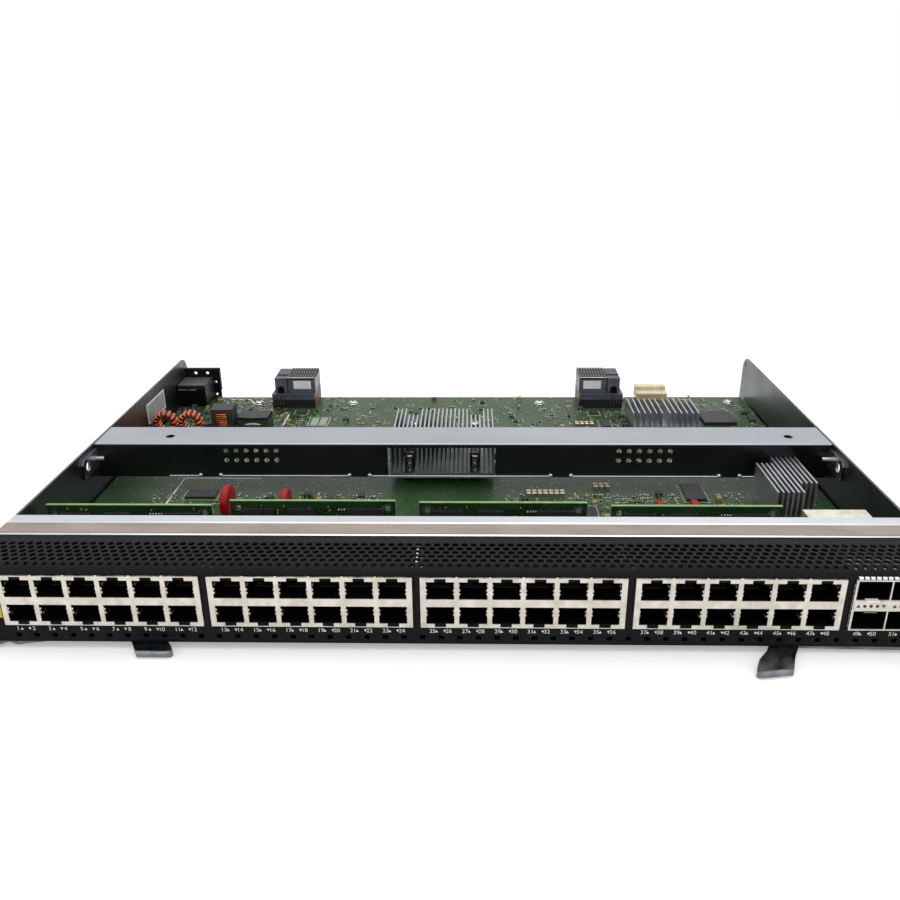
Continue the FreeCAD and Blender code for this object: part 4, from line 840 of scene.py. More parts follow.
def makeCageDetails():
    x0, x1, front, _, low, high = spanOf("sfp_cage")
    _, _, face, _, stripLow, stripHigh = spanOf("sfp_indicator_strip")
    columnWidth = (x1 - x0) / cage["columns"]
    fingers, marks, latches, bayShade = newBag(), newBag(), newBag(), newBag()
    pitch, w = cage["fingerPitch"], cage["fingerWidth"] / 2
    for k in range(int((x1 - x0 - 1) / pitch) + 1):  # spring fingers that close the gap above the cage
        x = x0 + cage["fingerIn"] + pitch * k
        addPrism(fingers, [(y, high + rise) for y, rise in cage["fingerShape"]], x - w, x + w, 0, "x")
    for k in range(cage["sideFingers"]):  # and the row beside it
        z = low + cage["fingerIn"] + pitch * k
        addBrick(fingers, x0 - 0.75, x0 - 0.1, front + 0.1, front + 0.5, z, z + 2 * w, 1, 0.15)
    showBag(fingers, "sfp_ground_fingers", ["galvanised", "springWire"])
    middle, s, thick = (stripLow + stripHigh) / 2, cage["symbolSize"], cage["symbolThick"]
    w = cage["latchWidth"] / 2
    for column in range(cage["columns"]):
        centre = x0 + columnWidth * (column + 0.5)
        for k in range(cage["symbols"]):  # an arrow at each end, round marks between them
            x = centre + cage["symbolPitch"] * (k - 2)
            if k in (0, 4):
                up = 1 if k == 0 else -1
                foot = middle - up * s * 0.8
                arrow = [(x - s, foot), (x + s, foot), (x, middle + up * s)]
                addPrism(marks, arrow, face - thick, face, 0, "y")
            else:
                addTurned(marks, [(s * 0.85, -thick), (s * 0.85, 0.0)], (x, face, middle), "y", 14)
        a, b, rear = centre - w, centre + w, face + 1.2
        addBricks(latches, (a, b, face - 0.9, rear, stripHigh + 0.1, stripHigh + 0.75, 0, 0.15),
                  (a, b, face - 0.4, rear, stripLow - 0.6, stripLow - 0.1, 1, 0.15))
    showBag(marks, "sfp_lamp_marks", ["blackInkAndRecessShade"])
    showBag(latches, "sfp_latch_tabs", ["labelPaper", "springWire"])
    t, wall = cage["bayShadeThick"], cage["wall"]
    y0, y1 = front + 0.5, front + cage["bayDepth"]
    for column in range(cage["columns"]):  # painted shade: thin black sheets on the walls of each bay
        a = x0 + wall * 1.5 + cage["pitch"] * column
        b = a + cage["pitch"] - wall
        for z0 in (low + wall, low + wall + cage["openHeight"] + cage["belly"]):
            z1 = z0 + cage["openHeight"]
            addBricks(bayShade, (a, a + t, y0, y1, z0, z1), (b - t, b, y0, y1, z0, z1),
                      (a, b, y0, y1, z0, z0 + t), (a, b, y0, y1, z1 - t, z1))
    showBag(bayShade, "sfp_bay_painted_shade", ["blackNylonAndShade"])


makeCageDetails()
print("transceiver cage: done")

# gasket on the rail

gasket = {"crownSteps": 10, "proud": 0.5, "bevel": 0.15}


def makeGasket():
    x0, x1, y0, y1, low, high = spanOf("rail_gasket")
    strip = newBag()
    outline = [(y0, low)]
    middle, half = (y0 + y1) / 2, (y1 - y0) / 2
    for k in range(gasket["crownSteps"] + 1):
        angle = math.pi * k / gasket["crownSteps"]
        reach = math.copysign(abs(math.cos(angle)) ** 0.5, math.cos(angle))
        outline.append((middle - half * reach, high - gasket["proud"] * (1 - math.sin(angle) ** 0.6)))
    outline.append((y1, low))
    addPrism(strip, outline, x0, x1, 0, "x")
    showBag(strip, "rail_gasket_cloth", ["gasketCloth"], ["rail_gasket"], gasket["bevel"])


makeGasket()

# a painted highlight in bright galvanised metal along each of the brace's toes, and a bead at its ends

brace = {
    "front": 135.6,
    "low": 17.3,
    "toe": 1.0,
    "toeEnd": 165.5,
    "edge": (-0.12, 0.3, -0.1, 1.3),  # from the toe's front, then from its underside
    "edgeChamfer": 0.25,
    "beadRadius": 1.25,
    "beads": (-147.55, -136.05, -62.45, -50.95, 51.45, 62.95, 145.85, 157.35),
}


def makeBraceTrim():
    trim = newBag()
    r, front, low = brace["beadRadius"], brace["front"] - brace["toe"], brace["low"]
    ends = (-brace["toeEnd"],) + brace["beads"] + (brace["toeEnd"],)
    y0, y1, z0, z1 = brace["edge"]
    for x0, x1 in zip(ends[0::2], ends[1::2]):
        addBrick(trim, x0, x1, front + y0, front + y1, low + z0, low + z1, 0, brace["edgeChamfer"])
    for x in brace["beads"]:
        addTurned(trim, [(r * 0.5, -r * 0.86), (r, -r * 0.4), (r, r * 0.4), (r * 0.5, r * 0.86)],
                  (x, brace["front"] - brace["toe"] * 0.3, low + r), "z", 14)
    showBag(trim, "brace_toe_beads", ["galvanised"])


makeBraceTrim()
print("gasket and brace trim: done")

# screws and springs

screw = {
    "headDia": 6.0,
    "headHeight": 2.2,
    "recess": 0.45,
    "recessArm": 1.7,
    "recessDepth": 0.1,
    "washerDia": 7.4,
    "washer": 0.5,
    "shankRadius": 1.45,
    "shankDrop": 4.6,
    "places": ((-148.9, 285.0), (-80.1, 285.0), (56.0, 285.0), (193.0, 286.6),
               (-196.0, 172.0), (-88.0, 172.0), (100.0, 172.0), (196.0, 172.0)),
}


def addPanHead(bag, x, y, z, dia, height):
    r, top = dia / 2, z + height
    profile = ((0.97, 0), (1, 0.25), (0.93, 0.6), (0.72, 0.88), (0.45, 1))
    addTurned(bag, [(r * a, height * b) for a, b in profile], (x, y, z), "z", 24)
    # the cross recess is drawn as a black cross at the head's top: painted shade
    arm, w = screw["recessArm"] * dia / 6, screw["recess"]
    for a, b in ((arm, w), (w, arm)):
        addBrick(bag, x - a, x + a, y - b, y + b, top - screw["recessDepth"], top + 0.02, 1)


def makeScrews():
    bag = newBag()
    top = card["boardTop"]
    washer, r = screw["washerDia"] / 2, screw["shankRadius"]
    for x, y in screw["places"]:
        addTurned(bag, [(washer, 0), (washer, screw["washer"])], (x, y, top), "z", 24)
        addPanHead(bag, x, y, top + screw["washer"], screw["headDia"], screw["headHeight"] - screw["washer"])
        addTurned(bag, [(r, -screw["shankDrop"]), (r, 0.1)], (x, y, top), "z", 12)
    showBag(bag, "pan_head_screws", ["nickel", "blackInkAndRecessShade"], ["board_screws"])


makeScrews()

sink = {
    "screwX": (10.8, 48.8),
    "screwIn": 5.2,
    "springTurns": 5.5,
    "turnSteps": 20,
    "springWire": 0.5,
    "springHeight": 8.8,
    "springDia": 6.2,
    "shankRadius": 1.5,
    "headDia": 6.6,
    "headHeight": 2.2,
}


def sinkScrewPlaces():
    x0, _, y0, y1, _, _ = spanOf("centre_heatsink")
    return [(x0 + dx, y) for dx in sink["screwX"] for y in (y0 + sink["screwIn"], y1 - sink["screwIn"])]


def makeSinkScrews():
    base = spanOf("heatsink_springs")[4]
    screws, springs = newBag(), newBag()
    turns, wire = sink["springTurns"], sink["springWire"]
    height, r = sink["springHeight"], sink["shankRadius"]
    radius, steps = sink["springDia"] / 2 - wire, int(turns * sink["turnSteps"])
    for x, y in sinkScrewPlaces():
        addPanHead(screws, x, y, base + height, sink["headDia"], sink["headHeight"])
        addTurned(screws, [(r, card["boardTop"] - base), (r, height)], (x, y, base), "z", 14)
        path = []
        for k in range(steps + 1):
            angle = 2 * math.pi * turns * k / steps
            path.append((x + radius * math.cos(angle), y + radius * math.sin(angle),
                         base + wire + (height - 2 * wire) * k / steps))
        addTube(springs, path, wire, 7)
    showBag(screws, "heatsink_screw_heads", ["nickel", "blackInkAndRecessShade"], ["heatsink_screws"])
    showBag(springs, "heatsink_coil_springs", ["springWire"], ["heatsink_springs"])


makeSinkScrews()
print("screws and springs: done")

# coils

coil = {
    "dia": 16.4,
    "bore": 7.0,
    "width": 9.0,
    "wire": 0.92,
    "turns": 12,
    "gapDegrees": 38,
    "lift": 0.8,
    "steps": 26,
    "squareness": 0.6,  # how far the turns follow the core's square section
    "places": ((-197.0, 223.0), (-180.2, 223.0)),
}


def makeCoils():
    bag = newBag()
    mid = (coil["dia"] + coil["bore"]) / 4
    tall = (coil["dia"] - coil["bore"]) / 4 - coil["wire"]
    wide = coil["width"] / 2 - coil["wire"]
    total, gap = coil["turns"] * coil["steps"], math.radians(coil["gapDegrees"])
    for x, y in coil["places"]:
        z = card["boardTop"] + coil["lift"] + coil["dia"] / 2
        path = []
        for k in range(total + 1):
            along = -math.pi / 2 + gap / 2 + (2 * math.pi - gap) * k / total
            around = 2 * math.pi * k / coil["steps"]
            squash = 1 / max(abs(math.cos(around)), abs(math.sin(around))) ** coil["squareness"]
            radial = mid + tall * math.cos(around) * squash
            path.append((x + radial * math.cos(along), y + wide * math.sin(around) * squash,
                         z + radial * math.sin(along)))
        ends = [(path[k][0], path[k][1], card["boardTop"]) for k in (0, -1)]
        addTube(bag, ends[:1] + path + ends[1:], coil["wire"], 7)
    showBag(bag, "choke_windings", ["enamelWire"], ["coil_windings"])


makeCoils()
print("coils: done")

# discs

disc = {
    "thick": 4.6,
    "lift": 1.0,
    "legPitch": 7.5,
    "legRadius": 0.45,
    "rimAngles": (-75, -50, -25, 0, 25, 50, 75),
    "flatShare": 0.6,
    # x, y and diameter
    "places": ((-122.6, 99.0, 19.2), (-91.3, 97.0, 18.2), (102.6, 84.0, 17.8), (120.5, 84.6, 17.8)),
}


def makeDiscs():
    bag = newBag()
    board, t, flat = card["boardTop"], disc["thick"] / 2, disc["flatShare"]
    angles = [math.radians(angle) for angle in disc["rimAngles"]]
    for x, y, dia in disc["places"]:
        r, z = dia / 2, board + disc["lift"] + dia / 2
        rim = [(r - t * 0.9 + t * 0.9 * math.cos(a), t * math.sin(a)) for a in angles]
        profile = [(0.01, -t), (r * flat, -t * 0.97), *rim, (r * flat, t * 0.97), (0.01, t)]
        addTurned(bag, profile, (x, y, z), "x", 36)
        for side in (-1, 1):
            leg = y + side * disc["legPitch"] / 2
            addTube(bag, [(x, leg, board), (x, leg, z - r * 0.55)], disc["legRadius"], 8, 1)
            addTurned(bag, [(0.9, 0), (0.55, 1.6)], (x, leg, board + 0.3), "z", 10)
    showBag(bag, "red_varistors", ["dippedRed", "solder"], ["disc_varistors"])


makeDiscs()
print("varistors: done")

# backplane connectors

link = {
    "baseHeight": 10.4,
    "bodyHeight": 11.4,
    "setback": 4.0,
    "bodyWidth": 19.6,
    "boardRear": 299.0,
    "baseStep": 4.0,
    "baseCap": 0.7,
    "innerEnd": 0.5,
    "crown": 0.5,
    "bandDepth": 1.7,
    "wafers": 10,
    "waferShare": 0.66,  # width of the raised part of each wafer
    # steps along a wafer's top: distance from the front, then height over the body
    "waferSteps": ((0.7, -0.5), (0.9, 0.35), (6.8, 0.6), (7.1, 0.1), (7.9, 0.1), (8.2, 0.6),
                   (14.6, 0.6), (14.9, 0.1), (15.7, 0.1), (16.0, 0.6)),
    "waferRise": 0.6,
    "streaks": 7,
    "streakPitch": 3.0,
    "streakWidth": 1.9,
    "labelWidth": 12.6,
    "labelHeight": 6.0,
    "labelRise": 2.9,
    "ribs": 4,
    "ribPitch": 2.2,
    "ribWidth": 0.8,
    "boreRadius": 2.4,
    "boreRise": 3.0,
    "boreSteps": 12,
    "notch": (7.0, 9.4),  # start and end of the notch behind the guide's face
    "looks": ["blackPolymer", "darkPolymer", "brownResin", "tinPlate", "labelPaper", "greyPolymerLitTops",
              "bluePolymer", "zincLever"],
}


def makeLink(side):
    low0, high0, y0, rear, z0, _ = spanOf("backplane_connector_" + side)
    left, board, drop = side == "left", link["boardRear"], link["crown"]
    z1 = z0 + link["baseHeight"]
    z2 = z1 + link["bodyHeight"]
    front, band = y0 + link["setback"], z2 - link["bandDepth"]
    step, cap = z1 - link["baseStep"], z1 - link["baseCap"]
    x0, x1 = (high0 - link["bodyWidth"], high0) if left else (low0, low0 + link["bodyWidth"])
    inner = (high0 - link["innerEnd"], high0) if left else (low0, low0 + link["innerEnd"])
    bag = newBag()
    addBricks(bag,
              (low0 + 0.3, high0 - 0.3, y0 + 0.6, board, z0, step, 0),
              (low0 + 0.2, high0 - 0.2, y0 + 0.3, board, step, cap, 6, 0.1),
              (low0, high0, y0, board, cap, z1, 1, 0.2),
              (*inner, y0 + 1.5, board, z0, step - 0.2, 2),
              (x0, x1, front, rear, z1, band, 6, 0.15),
              (x0, x1, board, rear, z0, z1, 0),
              (x0 + 0.1, x1 - 0.1, front + 0.1, rear, band, z2 - drop, 0),
              (x0 - 0.05, x1 + 0.05, front - 0.1, front + 0.7, z2 - drop, z2, 3, 0.1))
    for k in range(link["ribs"]):  # pale ribs on the base, in front of the guide
        x = low0 + 1.4 + link["ribPitch"] * k if left else high0 - 2.2 - link["ribPitch"] * k
        addBrick(bag, x, x + link["ribWidth"], y0, y0 + 0.5, z0 + 2.4, z1 - 1.2, 1)
    pitch = (x1 - x0) / link["wafers"]
    steps = [(front + y, z2 + z) for y, z in link["waferSteps"]]
    steps += [(rear, z2 + link["waferRise"]), (rear, z2 - drop)]
    for k in range(link["wafers"]):  # wafers stand side by side, with shallow steps along their tops
        x = x0 + pitch * k
        split = x + pitch * link["waferShare"]
        # the raised part of each wafer is painted lighter: a highlight on its top
        addPrism(bag, steps, x + 0.1, split, 5, "x")
        addPrism(bag, [(y, min(z, z2 - 0.1)) for y, z in steps], split, x + pitch - 0.02, 0, "x")
    face = x1 if left else x0
    for k in range(link["streaks"]):  # pale streaked side face of the outermost wafer
        y = front + 1.2 + k * link["streakPitch"]
        addBrick(bag, face - 0.04, face + 0.04, y, y + link["streakWidth"], z1 + 1.2, z2 - 1.0, 7)
    middle, half = (x0 + x1) / 2 + (0.6 if left else -0.6), link["labelWidth"] / 2
    z = z1 + link["labelRise"]
    addBrick(bag, middle - half, middle + half, front - 0.12, front + 0.1, z, z + link["labelHeight"], 4)
    showBag(bag, "backplane_wafers_" + side, link["looks"], ["backplane_connector_" + side])
    makeGuideMouth(side, rear)


def makeGuideMouth(side, rear):  # painted shade shaped as the guide's arched bore on its front face, and a cap with a notch over it whose floor is painted shade and whose lighter top is a painted highlight
    x0, x1, face, _, low, top = spanOf("guide_block_" + side)
    guide = newBag()
    x, z, r, steps = (x0 + x1) / 2, low + link["boreRise"], link["boreRadius"], link["boreSteps"]
    turns = [math.pi * (1 - k / steps) for k in range(steps + 1)]
    arch = [(x + r * math.cos(a), z + r * math.sin(a)) for a in turns]
    addPrism(guide, [(x - r, low + 0.1), *arch, (x + r, low + 0.1)], face - 0.06, face, 1, "y")
    start, end = link["notch"]
    addBricks(guide,
              (x0 - 0.2, x1 + 0.2, face - 0.1, face + start, top, top + 0.6, 2, 0.15),
              (x0 - 0.2, x1 + 0.2, face + end, rear, top, top + 0.9, 2, 0.15),
              (x0 + 0.2, x1 - 0.2, face + start, face + end, top, top + 0.2, 1))
    showBag(guide, "guide_mouth_" + side, ["bluePolymer", "blackNylonAndShade", "greyPolymerLitTops"])


for side in ("left", "right"):
    makeLink(side)
print("backplane connectors: done")

# power corner, transformers and header

power = {
    "slitDrop": 3.4,
    "slitHeight": 0.5,
    "slitShare": 0.9,
    "slitStep": 1.05,
    "wallIn": 1.2,
    "label": (218.0, 252.0, 17.3, 30.8),
    "border": 1.1,
}


def makePowerCorner():
    x0, x1, y0, y1, low, high = spanOf("power_connector")
    bag, label = newBag(), newBag()
    third, z = (x1 - x0) / 3, high - power["slitDrop"]
    addBrick(bag, x0 + 0.3, x1 - 0.3, y0 - 0.15, y0 + 0.1, low + 0.5, high - 2.4, 0, 0.1)
    for k in range(2):  # two slits of the blade windows near the top of the front
        x = x0 + 0.8 + third * power["slitStep"] * k
        addBrick(bag, x, x + third * power["slitShare"], y0 - 0.3, y0 - 0.1, z, z + power["slitHeight"], 1)
    # a lighter grey strip along the connector's top: painted highlight
    addBrick(bag, x0 + 0.2, x1 - 0.2, y0 + 0.2, y1 - 3.0, high - 0.05, high + 0.15, 2, 0.1)
    showBag(bag, "power_connector_face", ["blackNylonAndShade", "greyLabel", "greyPolymerLitTops"])
    wall, b = power["wallIn"] - card["width"] / 2, power["border"]
    y0, y1, z0, z1 = power["label"]
    addBricks(label, (wall, wall + 0.12, y0, y1, z0, z1, 0),
              (wall + 0.1, wall + 0.16, y0 + b, y1 - b, z0 + b, z1 - b, 1))
    showBag(label, "bare_wall_label", ["labelPaper", "greyLabel"])


makePowerCorner()

transformer = {
    "layers": 7,
    "corner": 0.6,
    "innerCorner": 0.3,
    "coverSteps": 12,
    "coverBulge": 0.9,
    "coverDrop": 1.3,
    "archIn": 4.0,
    "archLow": 4.4,
    "archRise": 1.5,
    "archThick": 0.9,
}


def makeTransformers():
    x0, x1, y0, y1, z0, z1 = spanOf("pulse_transformer_winding")
    _, _, front, rear, _, _ = spanOf("pulse_transformer_core")
    winding, cover = newBag(), newBag()
    count, a, b = transformer["layers"], transformer["corner"], transformer["innerCorner"]
    ring = [(x0 + a, y0), (x1 - a, y0), (x1 - b, front + 0.5), (x1 - b, rear - 0.5),
            (x1 - a, y1), (x0 + a, y1), (x0 + b, rear - 0.5), (x0 + b, front + 0.5)]
    for k in range(count):  # layers of wire seen in the core's window, with light and dark turns
        z = z0 + (z1 - z0) * (k + 0.5) / count
        addTube(winding, [(x, y, z) for x, y in ring], (z1 - z0) / count / 2, 7, 1 if k % 3 == 2 else 0, True)
    showBag(winding, "pulse_wire_winding", ["enamelWire", "goldWire"],
            ["pulse_transformer_winding"])
    x0, x1, y0, y1, z0, z1 = spanOf("planar_transformer_core")
    steps = transformer["coverSteps"]
    curve = [(x0 + (x1 - x0) * k / steps, y0 - transformer["coverBulge"] * math.sin(math.pi * k / steps) ** 2)
             for k in range(steps + 1)]
    addPrism(cover, curve + [(x1, y1), (x0, y1)], z1 - transformer["coverDrop"], z1 + 0.2)
    x0, x1, low = x0 + transformer["archIn"], x1 - transformer["archIn"], z0 + transformer["archLow"]
    arch = [(x0 + (x1 - x0) * k / steps, low + transformer["archRise"] * math.sin(math.pi * k / steps))
            for k in range(steps + 1)]
    thin = [(x, z - transformer["archThick"]) for x, z in reversed(arch)]
    addPrism(cover, arch + thin, y0 - 0.7, y0 + 0.1, 1, "y")
    showBag(cover, "planar_core_cover", ["blackPolymer", "labelPaper"])


makeTransformers()

header = {
    "rows": 2,
    "rowPitch": 2.4,
    "firstRow": 2.8,
    "pins": 9,
    "pinIn": 3.0,
    "pinSide": 0.64,
    "stepHeight": 4.9,
    "stepDepth": 7.5,
    "ridges": 13,
    "ridgeIn": 0.6,
    "ridgeShare": 0.55,
}


def makeHeaderPins():
    x0, x1, y0, y1, low, high = spanOf("pin_header_shroud")
    step, stepRear = low + header["stepHeight"], y0 + header["stepDepth"]
    pins, ridges = newBag(), newBag()
    s, pinIn, ridgeIn = header["pinSide"] / 2, header["pinIn"], header["ridgeIn"]
    for k in range(header["pins"]):
        x = x0 + pinIn + (x1 - x0 - 2 * pinIn) * k / (header["pins"] - 1)
        for row in range(header["rows"]):
            z = low + header["firstRow"] + header["rowPitch"] * row
            addBrick(pins, x - s, x + s, stepRear + 1.5, y1 - 1.5, z - s, z + s)
        addBrick(pins, x - s, x + s, y0 - 1.2, y0 + 0.2, low + 0.1, low + 0.5)
    pitch = (x1 - x0 - 2 * ridgeIn) / header["ridges"]
    for k in range(header["ridges"]):  # fine ridges down the step's front
        x = x0 + ridgeIn + pitch * k
        addBrick(ridges, x, x + pitch * header["ridgeShare"], y0 - 0.3, y0 + 0.1, low + 0.5, step - 0.5)
    addBricks(ridges, (x0, x1, y0 + 0.2, stepRear, step, step + 0.3, 1, 0.1),
              (x0, x1 - 2.2, stepRear + 0.2, y1, high, high + 0.35, 1, 0.1),
              (x1 - 2.6, x1 - 1.9, y1 - 4.6, y1 - 3.9, high, high + 1.0))
    showBag(pins, "header_pins", ["goldWire"])
    showBag(ridges, "header_shroud_ridges", ["tanPolymer", "creamPolymer"])


makeHeaderPins()
print("rear parts: done")

# printed marks, small parts and pads on the main board

boardParts = {
    # corner x and y, width and depth of the larger packages
    "chips": ((-155.0, 125.0, 17.0, 10.0), (126.5, 123.5, 11.0, 20.0), (94.8, 235.0, 6.0, 13.0),
              (90.0, 261.0, 5.5, 7.0), (-118.0, 262.0, 7.0, 7.0), (-60.0, 104.0, 9.0, 9.0),
              (60.0, 100.0, 14.0, 14.0), (-100.0, 190.0, 22.0, 22.0), (60.0, 190.0, 22.0, 22.0)),
    "chipMargin": 2,
    # corner x and y, how many and how far apart
    "capRows": ((38.0, 129.0, 7, 3.15), (76.8, 138.0, 3, 3.2), (77.2, 238.5, 4, 3.3)),
    "legPitch": 1.0,
    "legReach": 0.9,
    "legHalf": 0.22,
    "legHeight": 0.3,
    "capEnds": (-0.25, 3.65),
    "seed": 11,
    # x range, y range, how many, share of plain chips, share of integrated circuits
    "fields": ((-128, -42, 76, 133, 330, 0.72, 0.10), (-40, 32, 76, 98, 110, 0.8, 0.06),
               (24, 160, 76, 133, 560, 0.74, 0.10), (-204, -132, 76, 94, 40, 0.8, 0.08),
               (-175, -100, 112, 133, 60, 0.8, 0.08), (-204, -108, 196, 296, 520, 0.66, 0.14),
               (-106, 80, 212, 297, 300, 0.76, 0.1), (80, 160, 200, 297, 330, 0.74, 0.12),
               (160, 203, 200, 297, 130, 0.85, 0.06), (-204, 203, 164, 196, 300, 0.8, 0.08),
               (-204, 160, 42, 64, 260, 0.85, 0.05), (190, 203, 80, 133, 20, 0.9, 0.0)),
    # sizes of the small parts in millimetres
    "chipSizes": ((1.6, 0.8, 0.7), (1.0, 0.5, 0.45), (2.0, 1.25, 0.9), (1.6, 0.8, 0.5)),  # 0603, 0402, 0805
    "circuitSizes": ((2.0, 3.0), (3.2, 5.0), (4.0, 5.0), (3.0, 3.0)),
    "circuitLegPitch": 0.95,
    "blockSizes": ((1.8, 3.4, 1.6), (2.8, 3.5, 1.9), (3.6, 3.6, 2.4)),
    "inductorWidth": 3.6,
    "groupPitch": 1.7,
    "reach": {"chip": 2.2, "circuit": 5.6, "block": 4.2},
}
ink = {
    "thick": 0.06,
    "wide": 1.1,
    "lines": (((-163.5, 118.0), (-163.5, 153.0), (-118.0, 153.0), (-118.0, 192.0)),
              ((-122.6, 232.0), (-122.6, 262.0)),
              ((-172.0, 294.0), (-158.0, 294.0), (-151.5, 283.0))),
    # empty footprints: x range, y range and line width
    "frames": ((-106, -92, 240, 256, 0.3), (-187, -170, 96, 112, 0.22), (-166, -148, 96, 112, 0.22)),
    "padRows": 9,
    "padPitch": 1.5,
    "padSpans": ((-104.5, -99.5), (-98.5, -93.5)),
    "chipFrame": 1.4,
}
taken = []


def addStripe(bag, start, end, width, z):
    direction = Vector((end[0] - start[0], end[1] - start[1])).normalized()
    side = Vector((-direction.y, direction.x)) * width / 2
    outline = [(start[0] + side.x, start[1] + side.y), (start[0] - side.x, start[1] - side.y),
               (end[0] - side.x, end[1] - side.y), (end[0] + side.x, end[1] + side.y)]
    addPrism(bag, outline, z, z + ink["thick"])


def addFrame(bag, x0, x1, y0, y1, z, width):
    corners = ((x0, y0), (x1, y0), (x1, y1), (x0, y1), (x0, y0))
    for start, end in zip(corners, corners[1:]):
        addStripe(bag, start, end, width, z)


def reserve(x0, x1, y0, y1):
    taken.append((x0, x1, y0, y1))


def isFree(x0, x1, y0, y1):
    return not any(x0 < b and x1 > a and y0 < d and y1 > c for a, b, c, d in taken)


def reserveFitted():  # keeps the small parts clear of everything that stands on the board
    for node in ["front_heatsink", "rear_heatsink", "backplane_connector_left", "backplane_connector_right",
                 "pin_header_shroud", "power_connector", "power_bracket", "pulse_transformer_core",
                 "planar_transformer_core", "sfp_cage"] + uprights + shields:
        x0, x1, y0, y1, _, _ = spanOf(node)
        ahead = 0 if node in shields else 1
        reserve(x0 - 1, x1 + 1, y0 - ahead, y1 + 1)
    x0, x1, y0, y1, _, _ = spanOf("centre_heatsink")
    reserve(x0 + 6, x1 - 6, y0 + 6, y1 - 6)
    reserve(164, 190, 236, 263)  # the square ball-grid chip beside the rear heatsink
    for places, w, d in ((sinkScrewPlaces(), 3, 3), (screw["places"], 5, 5), (coil["places"], 9, 8),
                         (disc["places"], 4, 10.5)):
        for x, y, *_ in places:
            reserve(x - w, x + w, y - d, y + d)
    m = boardParts["chipMargin"]
    for x, y, w, d in boardParts["chips"]:
        reserve(x - m, x + w + m, y - m, y + d + m)
    for x, y, count, pitch in boardParts["capRows"]:
        reserve(x - 1, x + pitch * count + 1, y - 1, y + 5.4)


def makeBoardInk():
    bag = newBag()
    z = card["boardTop"]
    for points in ink["lines"]:
        for start, end in zip(points, points[1:]):
            addStripe(bag, start, end, ink["wide"], z)
    for x0, x1, y0, y1, width in ink["frames"]:
        addFrame(bag, x0, x1, y0, y1, z, width)
    for k in range(ink["padRows"]):
        y = 242 + k * ink["padPitch"]
        for x0, x1 in ink["padSpans"]:
            addStripe(bag, (x0, y), (x1, y), 0.55, z)
    m = ink["chipFrame"]
    for x, y, w, d in boardParts["chips"]:
        addFrame(bag, x - m, x + w + m, y - m, y + d + m, z, 0.2)
    showBag(bag, "board_ink_marks", ["whiteInk"])


def makeChipLegs():
    bag = newBag()
    z, pitch, reach = card["boardTop"], boardParts["legPitch"], boardParts["legReach"]
    h, top = boardParts["legHalf"], card["boardTop"] + boardParts["legHeight"]
    for x, y, w, d in boardParts["chips"]:
        for beside, edge, start, length in ((True, x - reach, y, d), (True, x + w, y, d),
                                            (False, y - reach, x, w), (False, y + d, x, w)):
            if not beside and abs(w - d) > 2:  # oblong packages have legs on their long sides only
                continue
            count = int((length - 1.2) / pitch)
            for k in range(count):
                a = start + (length - pitch * (count - 1)) / 2 + pitch * k
                sides = (edge, edge + reach, a - h, a + h) if beside else (a - h, a + h, edge, edge + reach)
                addBrick(bag, *sides, z, top)
    for x, y, count, pitch in boardParts["capRows"]:  # soldered ends of the large chip capacitors
        for k in range(count):
            for edge in boardParts["capEnds"]:
                cx = x + pitch * k
                addBrick(bag, cx - 0.08, cx + 2.38, y + edge, y + edge + 1.0, z, z + 2.3, 0, 0.2)
    showBag(bag, "chip_legs", ["solder"])


def addSmallPart(bag, marks, rng, x, y, kind):
    z = card["boardTop"]
    turned = rng.random() < 0.5
    if kind == "chip":  # resistors and capacitors
        length, width, height = rng.choice(boardParts["chipSizes"])
        body = rng.choice((1, 1, 2, 2, 3))
        cap = length * 0.26
        spans = ((0, cap, height, 0), (cap, length - cap, height * 0.94, body),
                 (length - cap, length, height, 0))
        for a, b, top, look in spans:
            sides = (x, x + width, y + a, y + b) if turned else (x + a, x + b, y, y + width)
            addBrick(bag, *sides, z, z + top, look)
    elif kind == "circuit":  # small-outline package with legs on two sides
        width, length = rng.choice(boardParts["circuitSizes"])
        addBrick(bag, x, x + width, y, y + length, z + 0.1, z + 1.2, 2, 0.18)
        pitch = boardParts["circuitLegPitch"]
        legs = int(length / pitch)
        for k in range(legs):
            a = y + (length - pitch * (legs - 1)) / 2 + pitch * k
            addBricks(bag, (x - 0.6, x, a - 0.2, a + 0.2, z, z + 0.35),
                      (x + width, x + width + 0.6, a - 0.2, a + 0.2, z, z + 0.35))
    else:  # moulded tantalum capacitor or wound inductor
        width, length, height = rng.choice(boardParts["blockSizes"])
        body = 3 if width == boardParts["inductorWidth"] else rng.choice((4, 4, 2))
        a, b, top = x + width * 0.25, x + width * 0.75, z + height * 0.6
        addBricks(bag, (x, x + width, y, y + length, z + 0.1, z + height, body, 0.25),
                  (a, b, y - 0.3, y, z, top), (a, b, y + length, y + length + 0.3, z, top))
    if rng.random() < 0.5:  # printed reference ticks beside the part
        for k in range(rng.choice((2, 3))):
            tx = x + k * 0.95
            addStripe(marks, (tx, y - 1.25), (tx + 0.6, y - 1.25), 0.5, z)


